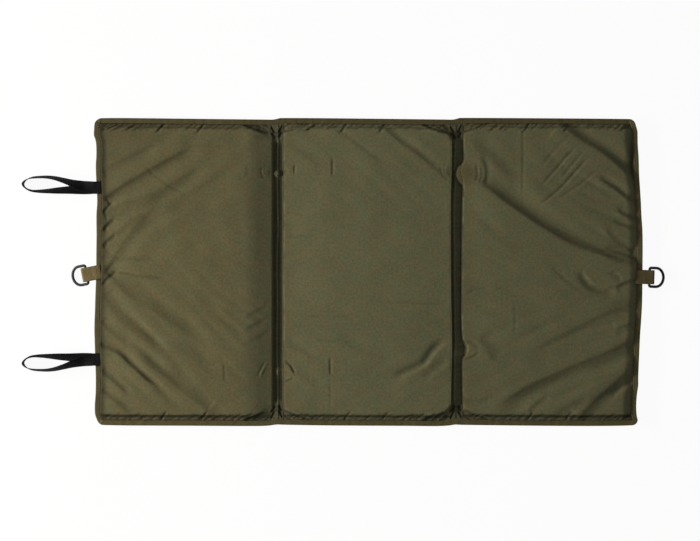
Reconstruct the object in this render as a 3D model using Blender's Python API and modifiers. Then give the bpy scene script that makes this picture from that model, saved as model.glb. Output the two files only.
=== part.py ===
"""Tri-fold padded unhooking mat, seen with its elastic loops to the left.

Three foam pads sit between a top cover and a base cover each. The covers are closed round the
outside by one binding tape, and two sewn fold webs join the three panels. The middle panel folds
over the right one, top on top, and the left panel folds under it, base on base. The left edge
carries two elastic loops and a webbing tab with a D-ring, the right edge a second tab and D-ring.
Metres, +Z up. The origin is on the floor under the middle of the 900 mm length.
"""

from math import atan2, cos, pi, radians, sin

import bmesh
import bpy
from mathutils import Matrix, Vector

# Plan of the mat
LEFT_PANEL_WIDTH = 0.289
MIDDLE_PANEL_WIDTH = 0.277
RIGHT_PANEL_WIDTH = 0.294
MAT_DEPTH = 0.508
CORNER_RADIUS = 0.0095

# Section of a panel; a folded pair of panels lies one fold clearance apart
PAD_THICKNESS = 0.019
FOLD_CLEARANCE = 0.001
CROWN_RISE = 0.002
CHANNEL_REACH = 0.030
EDGE_REACH = 0.022
BASE_REACH = 0.015
FOAM_INSET = 0.005

# Fabric, tape and the gap kept between neighbours
FABRIC = 0.0006
GAP = 0.0003
TAPE_WIDTH = 0.0085
TAPE_THICKNESS = 0.0007
TAPE_EASE = 0.0004
WEB_THICKNESS = 0.0008
CHANNEL_FLANGE = 0.0012

# Webbing tabs, folded round the straight bar of a D-ring
WEBBING_WIDTH = 0.0235
WEBBING_THICKNESS = 0.0013
TAB_TAIL = 0.0075
TAB_LENGTH = 0.0243
TAB_PINCH_START = 0.0071
TAB_PINCH_LENGTH = 0.0034
TAB_PINCH_SLOPE = 0.0034
TAB_PINCH_GAP = 0.0006
LEFT_TAB_Y = -0.001
LEFT_TAB_SLANT = radians(11)
RIGHT_TAB_Y = -0.008
RIGHT_TAB_SLANT = radians(-2)

# D-rings
RING_WIRE = 0.0035
RING_HALF_WIDTH = 0.0155
RING_CHAMFER = 0.003
RING_ARM = 0.012
RING_BOW = 0.0135
RING_BAR_OUT = 0.0164

# Elastic loops; each lies twisted on its side with the tip standing on the floor
ELASTIC_WIDTH = 0.020
ELASTIC_THICKNESS = 0.0013
ELASTIC_LAYER_GAP = 0.0004
ELASTIC_THIN_END = 0.0001
ELASTIC_THIN_GAP = 0.0001
ELASTIC_TAPER = 0.004
ANCHOR_TAIL = 0.0075
LOOP_FLEX_OUT = 0.005
LOOP_REACH = 0.1165
LOOP_SPREAD = 0.0233
BACK_LOOP_Y = 0.1393
FRONT_LOOP_Y = -0.1446

# Facet counts, and the angle past which an edge is shaded sharp
SHARP_ANGLE = radians(40)
CORNER_STEPS = 6
BOW_STEPS = 12
TAB_END_STEPS = 6
LOOP_RINGS = 46
PANEL_SPANS = 5
DEPTH_SPANS = 7

# Shares of an edge's reach at which a cover has a grid line
REACH_SHARES = (0.12, 0.3, 0.52, 0.76, 1.0)
FOAM_REACH_SHARES = (0.3, 0.52, 0.76, 1.0)

# One elastic loop from its root to the tip and back: outward share of the reach, sideways share
# of the spread, and share of the quarter turn from lying flat to standing on edge
LOOP_SHARES = (
    (0.0, 0.02, 0.0),
    (0.1, 0.1, 0.22),
    (0.18, 0.25, 0.46),
    (0.31, 0.45, 0.68),
    (0.44, 0.62, 0.84),
    (0.57, 0.74, 0.95),
    (0.7, 0.78, 1.0),
    (0.87, 0.73, 1.0),
    (0.96, 0.56, 1.0),
    (1.0, 0.28, 1.0),
    (0.965, 0.0, 1.0),
    (0.88, -0.19, 0.98),
    (0.77, -0.23, 0.9),
    (0.66, -0.21, 0.77),
    (0.5, -0.17, 0.66),
    (0.31, -0.13, 0.53),
    (0.1, -0.05, 0.2),
    (0.0, 0.0, 0.0),
)

# Places that follow from the sizes above
SEAM_HEIGHT = PAD_THICKNESS / 2
CUT = GAP / 2
FOLD_WEB_WIDTH = PAD_THICKNESS + FOLD_CLEARANCE
TOP_FOLD_HEIGHT = PAD_THICKNESS + FOLD_CLEARANCE / 2
BASE_FOLD_HEIGHT = -FOLD_CLEARANCE / 2
MAT_LENGTH = LEFT_PANEL_WIDTH + MIDDLE_PANEL_WIDTH + RIGHT_PANEL_WIDTH + 2 * FOLD_WEB_WIDTH
LEFT_EDGE = -MAT_LENGTH / 2
RIGHT_EDGE = MAT_LENGTH / 2
BACK_EDGE = MAT_DEPTH / 2
LEFT_FOLD_LEFT = LEFT_EDGE + LEFT_PANEL_WIDTH
LEFT_FOLD_RIGHT = LEFT_FOLD_LEFT + FOLD_WEB_WIDTH
RIGHT_FOLD_LEFT = LEFT_FOLD_RIGHT + MIDDLE_PANEL_WIDTH
RIGHT_FOLD_RIGHT = RIGHT_FOLD_LEFT + FOLD_WEB_WIDTH
FLANGE_TOP = GAP / 2 + FABRIC
TAPE_INNER = FLANGE_TOP + GAP
TAPE_OUTER = TAPE_INNER + TAPE_THICKNESS
TAPE_FLANGE = TAPE_WIDTH + GAP
ON_TAPE = TAPE_OUTER + GAP
ANCHOR_HALF = ELASTIC_THICKNESS + ELASTIC_LAYER_GAP / 2
LOOP_FLEX_HEIGHT = SEAM_HEIGHT + ON_TAPE + ANCHOR_HALF
LOOP_TIP_HEIGHT = ELASTIC_WIDTH / 2 + GAP
RING_REACH = RING_ARM + RING_BOW
RING_DROOP = atan2(SEAM_HEIGHT - RING_WIRE / 2 - GAP, RING_REACH)


def clear_scene():
    for item in list(bpy.data.objects):
        bpy.data.objects.remove(item, do_unlink=True)


def make_collection(name, shown=True):
    group = bpy.data.collections.new(name)
    bpy.context.scene.collection.children.link(group)
    group.hide_render = not shown
    return group


def make_material(name, colour, roughness, metallic=0.0):
    material = bpy.data.materials.new(name)
    material.use_nodes = True
    shader = material.node_tree.nodes["Principled BSDF"]
    shader.inputs["Base Color"].default_value = (*colour, 1.0)
    shader.inputs["Roughness"].default_value = roughness
    shader.inputs["Metallic"].default_value = metallic
    return material


def add_object(name, data, material, group):
    item = bpy.data.objects.new(name, data)
    item.data.materials.append(material)
    group.objects.link(item)
    return item


def add_empty(name, place, parent, group):
    empty = bpy.data.objects.new(name, None)
    empty.location = place
    group.objects.link(empty)
    carry(parent, [empty])
    return empty


def carry(parent, items):
    """Hang items on a parent, leaving each where it is."""
    bpy.context.view_layer.update()
    for item in items:
        if parent:
            item.parent = parent
            item.matrix_parent_inverse = parent.matrix_world.inverted()
    bpy.context.view_layer.update()


def mesh_from(bm, name):
    mesh = bpy.data.meshes.new(name)
    bm.to_mesh(mesh)
    bm.free()
    return mesh


def shade_round(mesh, angle):
    mesh.shade_smooth()
    mesh.set_sharp_from_angle(angle=angle)


class Panel:
    """One padded panel between two lines of constant x, each an outer edge or a fold line."""

    def __init__(self, name, low, high, low_is_edge, high_is_edge):
        self.name = name
        self.low_is_edge = low_is_edge
        self.high_is_edge = high_is_edge
        inner_fold = TAPE_THICKNESS + GAP
        self.low = low + (inner_fold if low_is_edge else CUT)
        self.high = high - (inner_fold if high_is_edge else CUT)
        self.rise_low = low + TAPE_FLANGE if low_is_edge else self.low + CHANNEL_FLANGE
        self.rise_high = high - TAPE_FLANGE if high_is_edge else self.high - CHANNEL_FLANGE
        self.front = -BACK_EDGE + inner_fold
        self.back = BACK_EDGE - inner_fold
        self.rise_front = -BACK_EDGE + TAPE_FLANGE
        self.rise_back = BACK_EDGE - TAPE_FLANGE

    def reaches(self, is_base):
        """Length of the curved side at the low x, the high x and the two long edges."""
        if is_base:
            return BASE_REACH, BASE_REACH, BASE_REACH
        low = EDGE_REACH if self.low_is_edge else CHANNEL_REACH
        high = EDGE_REACH if self.high_is_edge else CHANNEL_REACH
        return low, high, EDGE_REACH

    def fullness(self, x, y, is_base):
        """0 on the flat flange, 1 once clear of the curved sides."""
        low, high, side = self.reaches(is_base)
        full = ease(x - self.rise_low, low) * ease(self.rise_high - x, high)
        return full * ease(y - self.rise_front, side) * ease(self.rise_back - y, side)

    def crown(self, x, y):
        across = (2 * x - self.rise_low - self.rise_high) / (self.rise_high - self.rise_low)
        along = 2 * y / (self.rise_back - self.rise_front)
        return max(0.0, 1 - across**2) * max(0.0, 1 - along**2)

    def height(self, x, y, is_base):
        """Height of the outer skin."""
        full = self.fullness(x, y, is_base)
        if is_base:
            return (SEAM_HEIGHT - FLANGE_TOP) * (1 - full)
        side_rise = PAD_THICKNESS - SEAM_HEIGHT - FLANGE_TOP - CROWN_RISE
        crown = CROWN_RISE * self.crown(x, y) * full
        return SEAM_HEIGHT + FLANGE_TOP + side_rise * full + crown


def ease(distance, reach):
    """A parabola from 0 at the flange to 1 one reach further in."""
    share = min(max(distance / reach, 0.0), 1.0)
    return share * (2 - share)


def grid_lines(outer, rise_low, rise_high, reach_low, reach_high, spans, shares):
    """Positions of grid lines: the outer pair, if any, both curved sides and even spans between."""
    low = [rise_low + share * reach_low for share in shares]
    high = [rise_high - share * reach_high for share in reversed(shares)]
    step = (high[0] - low[-1]) / spans
    middle = [low[-1] + step * n for n in range(1, spans)]
    lines = low + middle + high
    return [outer[0], rise_low, *lines, rise_high, outer[1]] if outer else lines


def rounded_into_corner(x, y):
    """The point moved inside the rounded outer corners of the mat."""
    centre_x = RIGHT_EDGE - CORNER_RADIUS
    centre_y = BACK_EDGE - CORNER_RADIUS
    past = Vector((abs(x) - centre_x, abs(y) - centre_y))
    most = CORNER_RADIUS - TAPE_THICKNESS - GAP
    if past.x <= 0 or past.y <= 0 or past.length <= most:
        return x, y
    past *= most / past.length
    return (centre_x + past.x) * (1 if x > 0 else -1), (centre_y + past.y) * (1 if y > 0 else -1)


def skin_grid(bm, panel, xs, ys, is_base):
    """A grid on the panel's outer skin, with its faces outwards."""
    made = bmesh.ops.create_grid(bm, x_segments=len(xs) - 1, y_segments=len(ys) - 1, size=1)
    for vertex in made["verts"]:
        column = round((vertex.co.x + 1) / 2 * (len(xs) - 1))
        row = round((vertex.co.y + 1) / 2 * (len(ys) - 1))
        x, y = rounded_into_corner(xs[column], ys[row])
        vertex.co = (x, y, panel.height(x, y, is_base))
    faces = list({face for vertex in made["verts"] for face in vertex.link_faces})
    if is_base:
        bmesh.ops.reverse_faces(bm, faces=faces)
    return made["verts"]


def make_cover(panel, is_base, material, group):
    low, high, side = panel.reaches(is_base)
    xs = grid_lines(
        (panel.low, panel.high), panel.rise_low, panel.rise_high, low, high, PANEL_SPANS, REACH_SHARES
    )
    ys = grid_lines(
        (panel.front, panel.back),
        panel.rise_front,
        panel.rise_back,
        side,
        side,
        DEPTH_SPANS,
        REACH_SHARES,
    )
    bm = bmesh.new()
    skin_grid(bm, panel, xs, ys, is_base)
    name = f"{panel.name}_{'base' if is_base else 'top'}_cover"
    mesh = mesh_from(bm, name)
    shade_round(mesh, SHARP_ANGLE)
    cover = add_object(name, mesh, material, group)
    wall = cover.modifiers.new("fabric", "SOLIDIFY")
    wall.thickness = FABRIC
    wall.offset = -1
    return cover


def make_foam_pad(panel, material, group):
    """The pad follows both skins at one fabric and one gap, and its compressed rim joins them."""
    inset = FOAM_INSET
    low, high, side = panel.reaches(False)
    xs = grid_lines(
        None,
        panel.rise_low + inset,
        panel.rise_high - inset,
        low - inset,
        high - inset,
        PANEL_SPANS,
        (0.0, *FOAM_REACH_SHARES),
    )
    ys = grid_lines(
        None,
        panel.rise_front + inset,
        panel.rise_back - inset,
        side - inset,
        side - inset,
        DEPTH_SPANS,
        (0.0, *FOAM_REACH_SHARES),
    )
    bm = bmesh.new()
    skins = [*skin_grid(bm, panel, xs, ys, False), *skin_grid(bm, panel, xs, ys, True)]
    bm.normal_update()
    for vertex in skins:
        vertex.co -= vertex.normal * (FABRIC + GAP)
    rim = [edge for edge in bm.edges if edge.is_boundary]
    bmesh.ops.bridge_loops(bm, edges=rim)
    bmesh.ops.recalc_face_normals(bm, faces=bm.faces)
    name = f"{panel.name}_foam_pad"
    mesh = mesh_from(bm, name)
    shade_round(mesh, SHARP_ANGLE)
    return add_object(name, mesh, material, group)


def box_between(low, high, name):
    bm = bmesh.new()
    size = Vector(high) - Vector(low)
    place = Matrix.Translation((Vector(high) + Vector(low)) / 2)
    scale = Matrix.Diagonal((*size, 1.0))
    bmesh.ops.create_cube(bm, size=1, matrix=place @ scale)
    return mesh_from(bm, name)


def make_fold_web(side, low, high, material, group):
    """The sewn strip between two panels, two fabrics thick, level with the seam."""
    reach = BACK_EDGE - TAPE_THICKNESS - GAP
    name = f"{side}_fold_web"
    mesh = box_between(
        (low + CUT, -reach, SEAM_HEIGHT - WEB_THICKNESS / 2),
        (high - CUT, reach, SEAM_HEIGHT + WEB_THICKNESS / 2),
        name,
    )
    return add_object(name, mesh, material, group)


def poly_curve(name, points, closed, flat=False):
    curve = bpy.data.curves.new(name, "CURVE")
    curve.dimensions = "2D" if flat else "3D"
    spline = curve.splines.new("POLY")
    spline.points.add(len(points) - 1)
    for target, point in zip(spline.points, points):
        target.co = (*point, *([0.0] * (3 - len(point))), 1.0)
    spline.use_cyclic_u = closed
    return curve


def arc(centre, radius, start, end, steps):
    return [
        (
            centre[0] + radius * cos(start + (end - start) * n / steps),
            centre[1] + radius * sin(start + (end - start) * n / steps),
        )
        for n in range(steps + 1)
    ]


def make_tape_section(group):
    """The binding's U section: x runs inwards from the mat's edge, y is the height over the seam."""
    points = [
        (TAPE_WIDTH, TAPE_INNER),
        (TAPE_THICKNESS, TAPE_INNER),
        (TAPE_THICKNESS, -TAPE_INNER),
        (TAPE_WIDTH, -TAPE_INNER),
        (TAPE_WIDTH, -TAPE_OUTER),
        (TAPE_EASE, -TAPE_OUTER),
        (0.0, TAPE_EASE - TAPE_OUTER),
        (0.0, TAPE_OUTER - TAPE_EASE),
        (TAPE_EASE, TAPE_OUTER),
        (TAPE_WIDTH, TAPE_OUTER),
    ]
    section = bpy.data.objects.new("tape_section", poly_curve("tape_section", points, True, True))
    section.hide_render = True
    section.display_type = "WIRE"
    group.objects.link(section)
    return section


def make_binding(name, points, section, material, group):
    curve = poly_curve(name, points, False)
    curve.bevel_mode = "OBJECT"
    curve.bevel_object = section
    curve.use_fill_caps = True
    curve.twist_mode = "Z_UP"
    binding = add_object(name, curve, material, group)
    binding.location.z = SEAM_HEIGHT
    return binding


def side_path(edge, cut):
    """The edge path round one end of the mat, clockwise for the right end when seen from above."""
    way = 1 if edge > cut else -1
    start = cut + way * CUT
    centre_x = edge - way * CORNER_RADIUS
    centre_y = BACK_EDGE - CORNER_RADIUS
    back = arc((centre_x, centre_y), CORNER_RADIUS, pi / 2, 0 if way > 0 else pi, CORNER_STEPS)
    front = [(x, -y) for x, y in reversed(back)]
    return [(start, BACK_EDGE), *back, *front, (start, -BACK_EDGE)]


def make_bindings(section, material, group):
    """The tape in four stretches, cut at the left side of each fold web."""
    left = list(reversed(side_path(LEFT_EDGE, LEFT_FOLD_LEFT)))
    right = side_path(RIGHT_EDGE, RIGHT_FOLD_LEFT)
    ends = (LEFT_FOLD_LEFT + CUT, RIGHT_FOLD_LEFT - CUT)
    back = [(x, BACK_EDGE) for x in ends]
    front = [(x, -BACK_EDGE) for x in reversed(ends)]
    return {
        "left_panel": [make_binding("left_binding", left, section, material, group)],
        "middle_panel": [
            make_binding("middle_binding_back", back, section, material, group),
            make_binding("middle_binding_front", front, section, material, group),
        ],
        "right_panel": [make_binding("right_binding", right, section, material, group)],
    }


def tab_outline():
    """Side view of a folded tab: x outwards from the mat's edge, y up from the seam."""
    bar = ON_TAPE
    pinch = TAB_PINCH_GAP / 2
    pinch_end = TAB_PINCH_START + TAB_PINCH_LENGTH
    end = TAB_LENGTH - WEBBING_THICKNESS - bar
    inner_upper = [
        (-TAB_TAIL, bar),
        (TAB_PINCH_START - TAB_PINCH_SLOPE, bar),
        (TAB_PINCH_START, pinch),
        (pinch_end, pinch),
        (pinch_end + TAB_PINCH_SLOPE, bar),
    ]
    outer_upper = [(x, y + WEBBING_THICKNESS) for x, y in inner_upper]
    inner = inner_upper + arc((end, 0.0), bar, pi / 2, -pi / 2, TAB_END_STEPS)
    inner += [(x, -y) for x, y in reversed(inner_upper)]
    outer = outer_upper + arc((end, 0.0), bar + WEBBING_THICKNESS, pi / 2, -pi / 2, TAB_END_STEPS)
    outer += [(x, -y) for x, y in reversed(outer_upper)]
    return outer + inner[::-1]


def make_tab_place(side, edge, y, slant, parent, group):
    """An empty on the mat's edge at the seam, its x axis pointing away from the mat."""
    place = add_empty(f"{side}_tab_place", (edge, y, SEAM_HEIGHT), parent, group)
    place.rotation_euler.z = slant + (pi if edge < 0 else 0.0)
    return place


def make_tab(side, place, material, group):
    name = f"{side}_webbing_tab"
    curve = poly_curve(name, tab_outline(), True, True)
    curve.fill_mode = "BOTH"
    curve.extrude = WEBBING_WIDTH / 2
    tab = add_object(name, curve, material, group)
    tab.rotation_euler.x = pi / 2
    tab.parent = place
    return tab


def ring_outline():
    """A D-ring's wire line: the straight bar on x = 0, the bow away from it."""
    half = RING_HALF_WIDTH
    bow = [
        (RING_ARM + RING_BOW * sin(pi * n / BOW_STEPS), -half * cos(pi * n / BOW_STEPS))
        for n in range(BOW_STEPS + 1)
    ]
    chamfer = RING_CHAMFER
    low_corner = [(0.0, chamfer - half), (chamfer, -half)]
    high_corner = [(chamfer, half), (0.0, half - chamfer)]
    return low_corner + bow + high_corner


def make_ring(side, place, material, group):
    """The ring turns on its bar and droops until the bow rests on the floor."""
    name = f"{side}_d_ring"
    curve = poly_curve(name, ring_outline(), True)
    curve.bevel_depth = RING_WIRE / 2
    curve.bevel_resolution = 2
    ring = add_object(name, curve, material, group)
    ring.parent = place
    ring.location.x = RING_BAR_OUT
    ring.rotation_euler.y = RING_DROOP
    return ring


def loft(name, rings):
    """A closed solid through rings of corner points, capped at both ends."""
    bm = bmesh.new()
    rows = [[bm.verts.new(point) for point in ring] for ring in rings]
    for near, far in zip(rows, rows[1:]):
        for n in range(len(near)):
            after = (n + 1) % len(near)
            bm.faces.new((near[n], near[after], far[after], far[n]))
    bm.faces.new(rows[0])
    bm.faces.new(rows[-1])
    bmesh.ops.recalc_face_normals(bm, faces=bm.faces)
    mesh = mesh_from(bm, name)
    shade_round(mesh, SHARP_ANGLE)
    return mesh


def make_loop_anchor(name, y, material, group):
    """Both ends of a loop's band sewn down on the tape, thinning to the line where it flexes."""
    half = ELASTIC_WIDTH / 2
    flex = LEFT_EDGE - LOOP_FLEX_OUT + GAP
    places = (
        (LEFT_EDGE + ANCHOR_TAIL, ANCHOR_HALF),
        (flex + ELASTIC_TAPER, ANCHOR_HALF),
        (flex, ELASTIC_THIN_GAP / 2 + ELASTIC_THIN_END),
    )
    rings = [
        [(x, -half, -thick), (x, half, -thick), (x, half, thick), (x, -half, thick)]
        for x, thick in places
    ]
    anchor = add_object(name, loft(name, rings), material, group)
    anchor.location = (0.0, y, LOOP_FLEX_HEIGHT)
    return anchor


def smooth_between(rows, place):
    """A Catmull-Rom curve through rows of numbers, read at a place from 0 to the last row."""
    n = min(int(place), len(rows) - 2)
    t = place - n
    around = [Vector(rows[min(max(n + k, 0), len(rows) - 1)]) for k in (-1, 0, 1, 2)]
    before, start, end, after = around
    return 0.5 * (
        2 * start
        + (end - before) * t
        + (2 * before - 5 * start + 4 * end - after) * t**2
        + (3 * start - before - 3 * end + after) * t**3
    )


def loop_stations():
    """(outward, sideways, up from the flex line, twist, thickness), root to tip to root."""
    stations = []
    last = len(LOOP_SHARES) - 1
    for n in range(LOOP_RINGS + 1):
        out_share, side_share, twist_share = smooth_between(LOOP_SHARES, last * n / LOOP_RINGS)
        out_share = min(max(out_share, 0.0), 1.0)
        twist = pi / 2 * min(max(twist_share, 0.0), 1.0)
        outward = GAP + out_share * (LOOP_REACH - GAP)
        full = min((outward - GAP) / (ELASTIC_TAPER - GAP), 1.0)
        thickness = ELASTIC_THIN_END + full * (ELASTIC_THICKNESS - ELASTIC_THIN_END)
        between = ELASTIC_THIN_GAP + full * (ELASTIC_LAYER_GAP - ELASTIC_THIN_GAP)
        over = 1 if n < LOOP_RINGS / 2 else -1
        layer = over * (between + thickness) / 2 * cos(twist)
        drop = (LOOP_FLEX_HEIGHT - LOOP_TIP_HEIGHT) * sin(twist)
        height = layer - drop
        stations.append((outward, side_share * LOOP_SPREAD, height, twist, thickness))
    return stations


def make_loop(name, y, way, material, group):
    """The origin is on the flex line. way is 1 for the back loop and -1 for its mirror in front."""
    stations = loop_stations()
    middles = [Vector((-out, way * side, z)) for out, side, z, _, _ in stations]
    rings = []
    for n, (_, _, _, twist, thickness) in enumerate(stations):
        ahead = middles[min(n + 1, len(middles) - 1)] - middles[max(n - 1, 0)]
        if n in (0, len(stations) - 1):
            ahead = Vector((1.0 if n else -1.0, 0.0, 0.0))
        across = Vector((0.0, way * cos(twist), -sin(twist)))
        across -= across.project(ahead)
        across.normalize()
        through = ahead.cross(across).normalized()
        a = across * ELASTIC_WIDTH / 2
        t = through * thickness / 2
        rings.append([middles[n] + corner for corner in (-a - t, a - t, a + t, t - a)])
    loop = add_object(name, loft(name, rings), material, group)
    loop.location = (LEFT_EDGE - LOOP_FLEX_OUT, y, LOOP_FLEX_HEIGHT)
    return loop


def make_fold_lines(group):
    """Empties on the two lines about which the panels fold, the second carried by the first."""
    right_line = ((RIGHT_FOLD_LEFT + RIGHT_FOLD_RIGHT) / 2, 0.0, TOP_FOLD_HEIGHT)
    left_line = ((LEFT_FOLD_LEFT + LEFT_FOLD_RIGHT) / 2, 0.0, BASE_FOLD_HEIGHT)
    middle = add_empty("right_fold_line", right_line, None, group)
    left = add_empty("left_fold_line", left_line, middle, group)
    return {"right_panel": None, "middle_panel": middle, "left_panel": left}


def main():
    clear_scene()
    mat = make_collection("unhooking_mat")
    guides = make_collection("guides", shown=False)

    cover_cloth = make_material("olive_coated_polyester", (0.105, 0.1, 0.052), 0.62)
    base_cloth = make_material("olive_base_polyester", (0.075, 0.072, 0.04), 0.7)
    foam = make_material("grey_foam", (0.3, 0.3, 0.3), 0.95)
    tape = make_material("olive_binding_tape", (0.08, 0.06, 0.024), 0.8)
    webbing = make_material("khaki_webbing", (0.15, 0.115, 0.045), 0.75)
    elastic = make_material("black_elastic", (0.01, 0.01, 0.011), 0.7)
    black_metal = make_material("black_coated_steel", (0.014, 0.015, 0.016), 0.4, 0.6)

    carriers = make_fold_lines(mat)
    pieces = make_bindings(make_tape_section(guides), tape, mat)
    panels = (
        Panel("left", LEFT_EDGE, LEFT_FOLD_LEFT, True, False),
        Panel("middle", LEFT_FOLD_RIGHT, RIGHT_FOLD_LEFT, False, False),
        Panel("right", RIGHT_FOLD_RIGHT, RIGHT_EDGE, False, True),
    )
    for panel in panels:
        pieces[f"{panel.name}_panel"] += [
            make_foam_pad(panel, foam, mat),
            make_cover(panel, False, cover_cloth, mat),
            make_cover(panel, True, base_cloth, mat),
        ]
    for side, body, low, high in (
        ("left", "middle_panel", LEFT_FOLD_LEFT, LEFT_FOLD_RIGHT),
        ("right", "right_panel", RIGHT_FOLD_LEFT, RIGHT_FOLD_RIGHT),
    ):
        pieces[body].append(make_fold_web(side, low, high, cover_cloth, mat))
    for side, y, way in (("back", BACK_LOOP_Y, 1), ("front", FRONT_LOOP_Y, -1)):
        pieces["left_panel"] += [
            make_loop_anchor(f"{side}_elastic_anchor", y, elastic, mat),
            make_loop(f"{side}_elastic_loop", y, way, elastic, mat),
        ]
    for body, items in pieces.items():
        carry(carriers[body], items)

    for side, edge, y, slant in (
        ("left", LEFT_EDGE, LEFT_TAB_Y, LEFT_TAB_SLANT),
        ("right", RIGHT_EDGE, RIGHT_TAB_Y, RIGHT_TAB_SLANT),
    ):
        place = make_tab_place(side, edge, y, slant, carriers[f"{side}_panel"], mat)
        make_tab(side, place, webbing, mat)
        make_ring(side, place, black_metal, mat)


main()
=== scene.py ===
"""A tri-fold padded unhooking mat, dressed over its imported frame.

Three pads under coated polyester are joined by two sewn fold webs and closed round the outside by
a binding tape. Two elastic loops and a webbing tab with a D-ring sit on the left edge, a second tab
and D-ring on the right one. Metres, +Z up, with the loops towards -X and the back edge towards +Y.
"""

import bmesh
import bpy
import numpy as np
from mathutils import Matrix, Vector


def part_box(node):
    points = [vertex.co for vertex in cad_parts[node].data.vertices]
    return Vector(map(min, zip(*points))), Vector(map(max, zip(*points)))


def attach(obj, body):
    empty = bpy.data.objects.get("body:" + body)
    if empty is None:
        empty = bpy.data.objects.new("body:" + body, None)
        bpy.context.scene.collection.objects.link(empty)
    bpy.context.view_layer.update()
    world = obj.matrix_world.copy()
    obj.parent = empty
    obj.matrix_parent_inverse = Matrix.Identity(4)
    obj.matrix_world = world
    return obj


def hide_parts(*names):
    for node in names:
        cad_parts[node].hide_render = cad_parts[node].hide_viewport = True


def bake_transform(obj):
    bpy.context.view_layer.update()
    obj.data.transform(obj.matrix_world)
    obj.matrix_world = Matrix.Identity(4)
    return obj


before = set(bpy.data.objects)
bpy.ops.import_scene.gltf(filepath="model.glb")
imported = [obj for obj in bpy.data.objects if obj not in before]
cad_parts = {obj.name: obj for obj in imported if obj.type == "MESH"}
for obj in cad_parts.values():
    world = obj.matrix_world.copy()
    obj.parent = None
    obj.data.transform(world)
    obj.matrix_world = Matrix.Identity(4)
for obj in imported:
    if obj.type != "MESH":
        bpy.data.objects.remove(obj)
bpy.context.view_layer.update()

bl_info = {
    "name": "Unhooking Mat",
    "version": (1, 0, 0),
    "blender": (4, 5, 0),
    "location": "3D Viewport > Sidebar > Unhooking Mat",
    "description": "Builds the cloth, tape, webbing, elastic and rings of a tri-fold mat",
    "category": "Object",
}

MM = 0.001

# Places read from the frame
LEFT_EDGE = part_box("left_binding")[0].x
RIGHT_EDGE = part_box("right_binding")[1].x
BACK_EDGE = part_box("left_binding")[1].y
SEAM = (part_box("left_fold_web")[0].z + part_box("left_fold_web")[1].z) / 2
PAD_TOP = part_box("middle_top_cover")[1].z
CUT = 0.15 * MM
WEBS = {
    side: (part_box(f"{side}_fold_web")[0].x - CUT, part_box(f"{side}_fold_web")[1].x + CUT)
    for side in ("left", "right")
}
PANELS = {
    "left": (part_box("left_top_cover")[0].x, WEBS["left"][0], True, False),
    "middle": (WEBS["left"][1], WEBS["right"][0], False, False),
    "right": (WEBS["right"][1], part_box("right_top_cover")[1].x, False, True),
}
COVER_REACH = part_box("left_top_cover")[1].y
CORNER_RADIUS = 9.5 * MM
FLANGE = 0.75 * MM
TAPE_HALF = 1.75 * MM
TAPE_BAND = 8.8 * MM
TAPE_WIDTH = 8.5 * MM

# Spacing of the tape's stations and the least of it, how far in its stitches run, and the points
# of a short row of stitches
TAPE_STEP, LEAST_STEP = 2.2 * MM, 0.2 * MM
STITCH_INSET = 7.1 * MM
STITCH_ROW = 12

# Thickness of webbing and elastic
BAND_THICK = 1.3 * MM

# How much darker each top cover is painted all over
PANEL_DARKENING = {"left": 0.12, "middle": 0.0, "right": 0.06}

# Where the seam of a channel is pinched by something round under the cloth, as the channel's x and
# the place along it in mm, and how far the seam widens there
PINCHES = ((-151, 162, 1.0), (-151, -165, 0.8), (146, 164, 0.3), (146, -137, 0.8))

# Round forms in the folds, as x and y of the middle, radius and height over the flange, in mm, and
# round hollows in a pad's side, as x and y, radius, share of the pad's height and the painted shade in them
DOMES = ((160, 162, 25.0, 6.2), (-151, 163, 7.0, 1.5))
HOLLOWS = ((158, -127, 9.0, 0.3, 0.5), (-139, 166, 10.0, 0.2, 0.3))

# How far the pads' sewn edges at the folds lie off their straight line, by the line's x, as place
# along it and offset, and how far from it the cloth is pulled along, in mm
SEAM_WANDER = {
    -141: (
        (-240, 0), (-212, 0.3), (-176, 0.8), (-160, 1.2), (-147, -0.3), (-90, 0.3), (0, -0.3), (90, 0.3),
        (150, 0), (166, 1.5), (180, 0), (240, 0),
    ),
    136: (
        (-240, 0), (-212, -0.4), (-122, 1.4), (-46, 0.2), (40, -0.6), (119, -0.5), (172, 0.9), (208, 1.2),
        (240, 0),
    ),
    156: (
        (-240, 0), (-212, 0), (-154, -1.0), (-143, 0.6), (-137, 4.6), (-126, 5.4), (-117, 2.5),
        (-106, -0.8), (-71, -2.2), (0, -1.6), (70, -1.2), (119, 0), (152, 1.3), (160, -1.0), (172, -2.4),
        (179, 0), (188, 1.9), (208, 1.3), (226, 0.7), (240, 0),
    ),
}
WANDER_REACH = 12.0

# How high the left edge of each fold web stands over the flange, as its x, the width of the bank
# down from it and its height, in mm, and how far that height fades into the panel
BANKS = {"left": (-161, 7.0, 1.6), "right": (137.2, 3.0, 6.2)}
BANK_FADE = 60.0

# How steeply the key light falls on the mat, and the share of the light that has no direction
KEY_RISE = np.radians(18.7)
EVEN_LIGHT = 0.2

# How much of the simulated billow a top cover takes, and in mm how far from its sides that starts
# and how far it fades in
BILLOW_SHARE, BILLOW_FROM, BILLOW_FADE = 0.45, 8.0, 64.0

# Seeds of each top cover's pleats and of its slow unevenness
PLEAT_SEEDS = {"left": 11, "middle": 23, "right": 37}
COVER_SEEDS = {"left": 3, "middle": 5, "right": 7}

# The sides of the channels, as the channel's x in mm, which way the panel lies and the panel
CHANNEL_SIDES = ((-151, -1, "left"), (-151, 1, "middle"), (146, -1, "middle"), (146, 1, "right"))

# Each fold's seam and banks, in shares of the web's half width: the seam's place, half width and
# painted shade, which below 0 is painted light, the painted shade right of it, and where the left
# bank starts and how wide it is
WEB_FORMS = {
    "left": (0.12, 0.13, -0.35, 1.1, 0.0, 0.7),
    "right": (-0.18, 0.16, -0.6, 0.4, 0.12, 0.34),
}

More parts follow.
